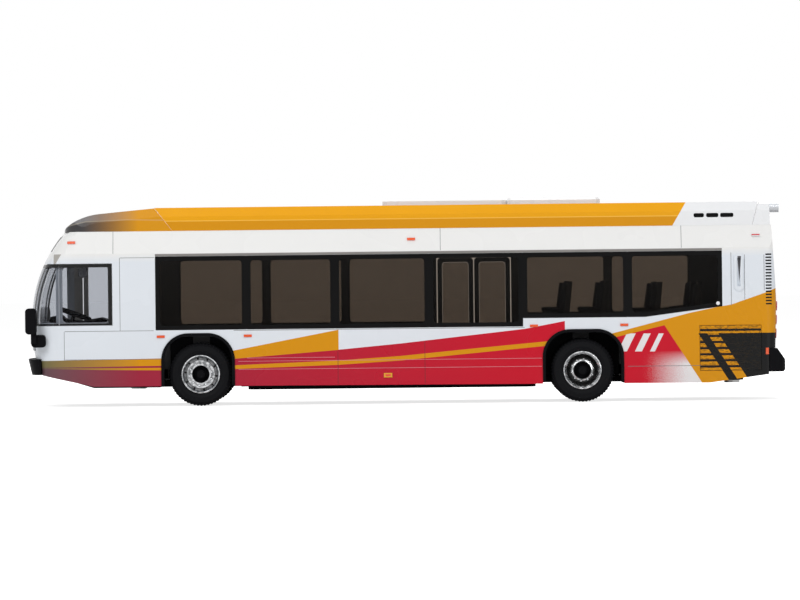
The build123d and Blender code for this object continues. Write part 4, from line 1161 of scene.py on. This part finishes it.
# Each one's radius, height and number of sides
NUT = (0.2, 0.22, 6)
HOLE = (0.22, 0.03, 12)
STUD_SUNK = 0.02
STUD_HEAD_SHARE = 0.6


def lathe(shape, axle_x, side, section, segments):
    """Turns (radius, distance in from the wheel face) points about the axle."""
    rings = []
    for radius, inward in section:
        y = side * (WHEEL_FACE - inward)
        rings.append([(x, y, z) for x, z in circle(axle_x, WHEEL_Z, radius, segments)])
    shape.rings(rings)


def lugged(shape, axle_x, side, start):
    """A tyre whose tread and shoulders step in and out once for each lug."""
    steps = 2 * LUGS
    rings = []
    for radius, inward, lug in TYRE_SECTION:
        y = side * (WHEEL_FACE - start - inward)
        ring = []
        for step in range(steps):
            angle = math.tau * (step + LUG_LEAN * (step % 2)) / steps
            reach = radius - LUG_DEPTH * lug * (step % 2)
            ring.append((axle_x + reach * math.cos(angle), y, WHEEL_Z + reach * math.sin(angle)))
        rings.append(ring)
    shape.rings(rings)


def wheel_stud(shape, axle_x, side, ring_radius, inward, angle, radius, height, sides):
    """A short stud that stands on a wheel, pointing outwards, its head drawn in a little."""
    x = axle_x + ring_radius * math.cos(angle)
    z = WHEEL_Z + ring_radius * math.sin(angle)
    foot = side * (WHEEL_FACE - inward - STUD_SUNK)
    head = side * (WHEEL_FACE - inward + height)
    levels = [(foot, radius), (head - side * radius / 3, radius), (head, radius * STUD_HEAD_SHARE)]
    loops = []
    for y, reach in levels:
        loops.append([(px, y, pz) for px, pz in circle(x, z, reach, sides)])
    shape.rings(loops, caps=True)


def wheels():
    for end, (axle_x, count) in WHEELS.items():
        body = f"{end}_wheels"
        for side, hand in ((-1, "left"), (1, "right")):
            tyre = Shape()
            lugged(tyre, axle_x, side, 0)
            if count == 2:
                inner = [(r, i + TYRE_WIDTH + TWIN_GAP) for r, i in INNER_SECTION]
                lathe(tyre, axle_x, side, inner, INNER_TYRE_SEGMENTS)
            made = tyre.piece(f"{end}_tyres_dressed_{hand}", rubber, "tyre_rubber", body)
            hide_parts(f"{end}_tyres_{hand}")
            rim = Shape()
            lathe(rim, axle_x, side, RIM_SECTION[end], RIM_SEGMENTS)
            outer, bore, start, web, hole = BARREL
            back = count * TYRE_WIDTH + (count - 1) * TWIN_GAP
            barrel = [(outer, start), (outer, back), (bore, back), (bore, web), (hole, web)]
            lathe(rim, axle_x, side, barrel, BARREL_SEGMENTS)
            finish = rim_finishes[end]
            made = rim.piece(f"{end}_rim_dressed_{hand}", finish, "chrome_rim", body, smooth=True)
            soften(made)
            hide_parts(f"{end}_rim_{hand}")
            nuts, hole_shades = Shape(), Shape()
            for number in range(NUTS):
                turn = math.tau * (number + NUT_START) / NUTS
                half_way = turn + math.tau / (2 * NUTS)
                wheel_stud(nuts, axle_x, side, *NUT_RING[end], turn, *NUT)
                wheel_stud(hole_shades, axle_x, side, *HOLE_RING[end], half_way, *HOLE)
            nuts.piece(f"{end}_nuts_{hand}", chrome, "chrome_rim", body)
            # black discs in the hand holes, painted shade
            hole_shades.piece(f"{end}_hand_hole_shades_{hand}", black_print, "black_plastic", body)
            hub = Shape()
            lathe(hub, axle_x, side, HUB_SECTION, HUB_SEGMENTS)
            hub.piece(f"{end}_hub_{hand}", black_trim, "black_plastic", body, smooth=True)


wheels()
driver_place()


# Camera, lamps and floor

CAMERA_DISTANCE = 900.0
CAMERA_X = photo_x(427.0)
CAMERA_Z = 25.6
FRAME_WIDTH = PHOTO_WIDTH_PX * PX
SHIFT_PX = (-27, -32)
ROLL = math.radians(0.616)
SENSOR = 36.0
# Clip distances and the floor's size are in metres
CLIP = (0.01, 20)
FLOOR_SIZE = 6
AMBIENT = 0.28
FLOOR_GLOW = 0.75
# Lamps: name, place, the point it faces, size and power
LAMPS = [
    ("key", (-220, -420, 330), (0, 0, 18), 260, 1.15),
    ("fill", (260, -420, 160), (0, 0, 18), 260, 0.55),
    ("top", (0, 60, 460), (0, 0, 20), 300, 0.9),
    ("back", (60, 420, 260), (0, 0, 20), 260, 0.6),
]


def make_camera():
    data = bpy.data.cameras.new("camera")
    data.sensor_width = SENSOR
    data.lens = SENSOR * CAMERA_DISTANCE / FRAME_WIDTH
    data.shift_x = SHIFT_PX[0] / PHOTO_WIDTH_PX
    data.shift_y = SHIFT_PX[1] / PHOTO_WIDTH_PX
    data.clip_start, data.clip_end = CLIP
    camera = placed("camera", data)
    look = Matrix.Rotation(math.radians(90), 4, "X")
    roll = Matrix.Rotation(-ROLL, 4, "Z")
    place = Matrix.Translation(Vector((CAMERA_X, -HALF_WIDTH - CAMERA_DISTANCE, CAMERA_Z)) * MM)
    camera.matrix_world = place @ look @ roll
    bpy.context.scene.camera = camera


def make_lamp(name, place, target, size, power):
    data = bpy.data.lights.new(name, "AREA")
    data.size = size * MM
    data.energy = power
    lamp = placed(name, data)
    place, target = Vector(place) * MM, Vector(target) * MM
    lamp.location = place
    lamp.rotation_euler = (target - place).to_track_quat("-Z", "Y").to_euler()


def make_world():
    """Grey light on the object, white where the camera, gloss and glass look past it."""
    world = bpy.data.worlds.new("world")
    bpy.context.scene.world = world
    world.use_nodes = True
    tree = world.node_tree
    background = tree.nodes["Background"]
    background.inputs["Color"].default_value = (1, 1, 1, 1)
    path = tree.nodes.new("ShaderNodeLightPath")
    total = path.outputs["Is Camera Ray"]
    for ray in ("Is Glossy Ray", "Is Transmission Ray"):
        seen = tree.nodes.new("ShaderNodeMath")
        seen.operation = "ADD"
        seen.use_clamp = True
        tree.links.new(total, seen.inputs[0])
        tree.links.new(path.outputs[ray], seen.inputs[1])
        total = seen.outputs[0]
    strength = tree.nodes.new("ShaderNodeMapRange")
    strength.inputs["To Min"].default_value = AMBIENT
    strength.inputs["To Max"].default_value = 1.0
    tree.links.new(total, strength.inputs["Value"])
    tree.links.new(strength.outputs[0], background.inputs["Strength"])


def make_floor():
    """A white floor that keeps the bus's soft shadow."""
    bpy.ops.mesh.primitive_plane_add(size=FLOOR_SIZE, location=(0, 0, 0))
    floor = bpy.context.object
    floor.name = "floor"
    paint = Paint("floor")
    diffuse = paint.node("BsdfDiffuse")
    diffuse.inputs[0].default_value = (0.85, 0.85, 0.85, 1)
    glow = paint.node("Emission")
    seen = paint.node("LightPath").outputs["Is Camera Ray"]
    paint.feed(glow.inputs["Strength"], paint.times(seen, FLOOR_GLOW))
    total = paint.node("AddShader")
    paint.feed(total.inputs[0], diffuse.outputs[0])
    paint.feed(total.inputs[1], glow.outputs[0])
    floor.data.materials.append(paint.cover(total.outputs[0]))


make_camera()
make_world()
make_floor()
for lamp in LAMPS:
    make_lamp(*lamp)

bpy.context.scene.view_settings.view_transform = "Standard"
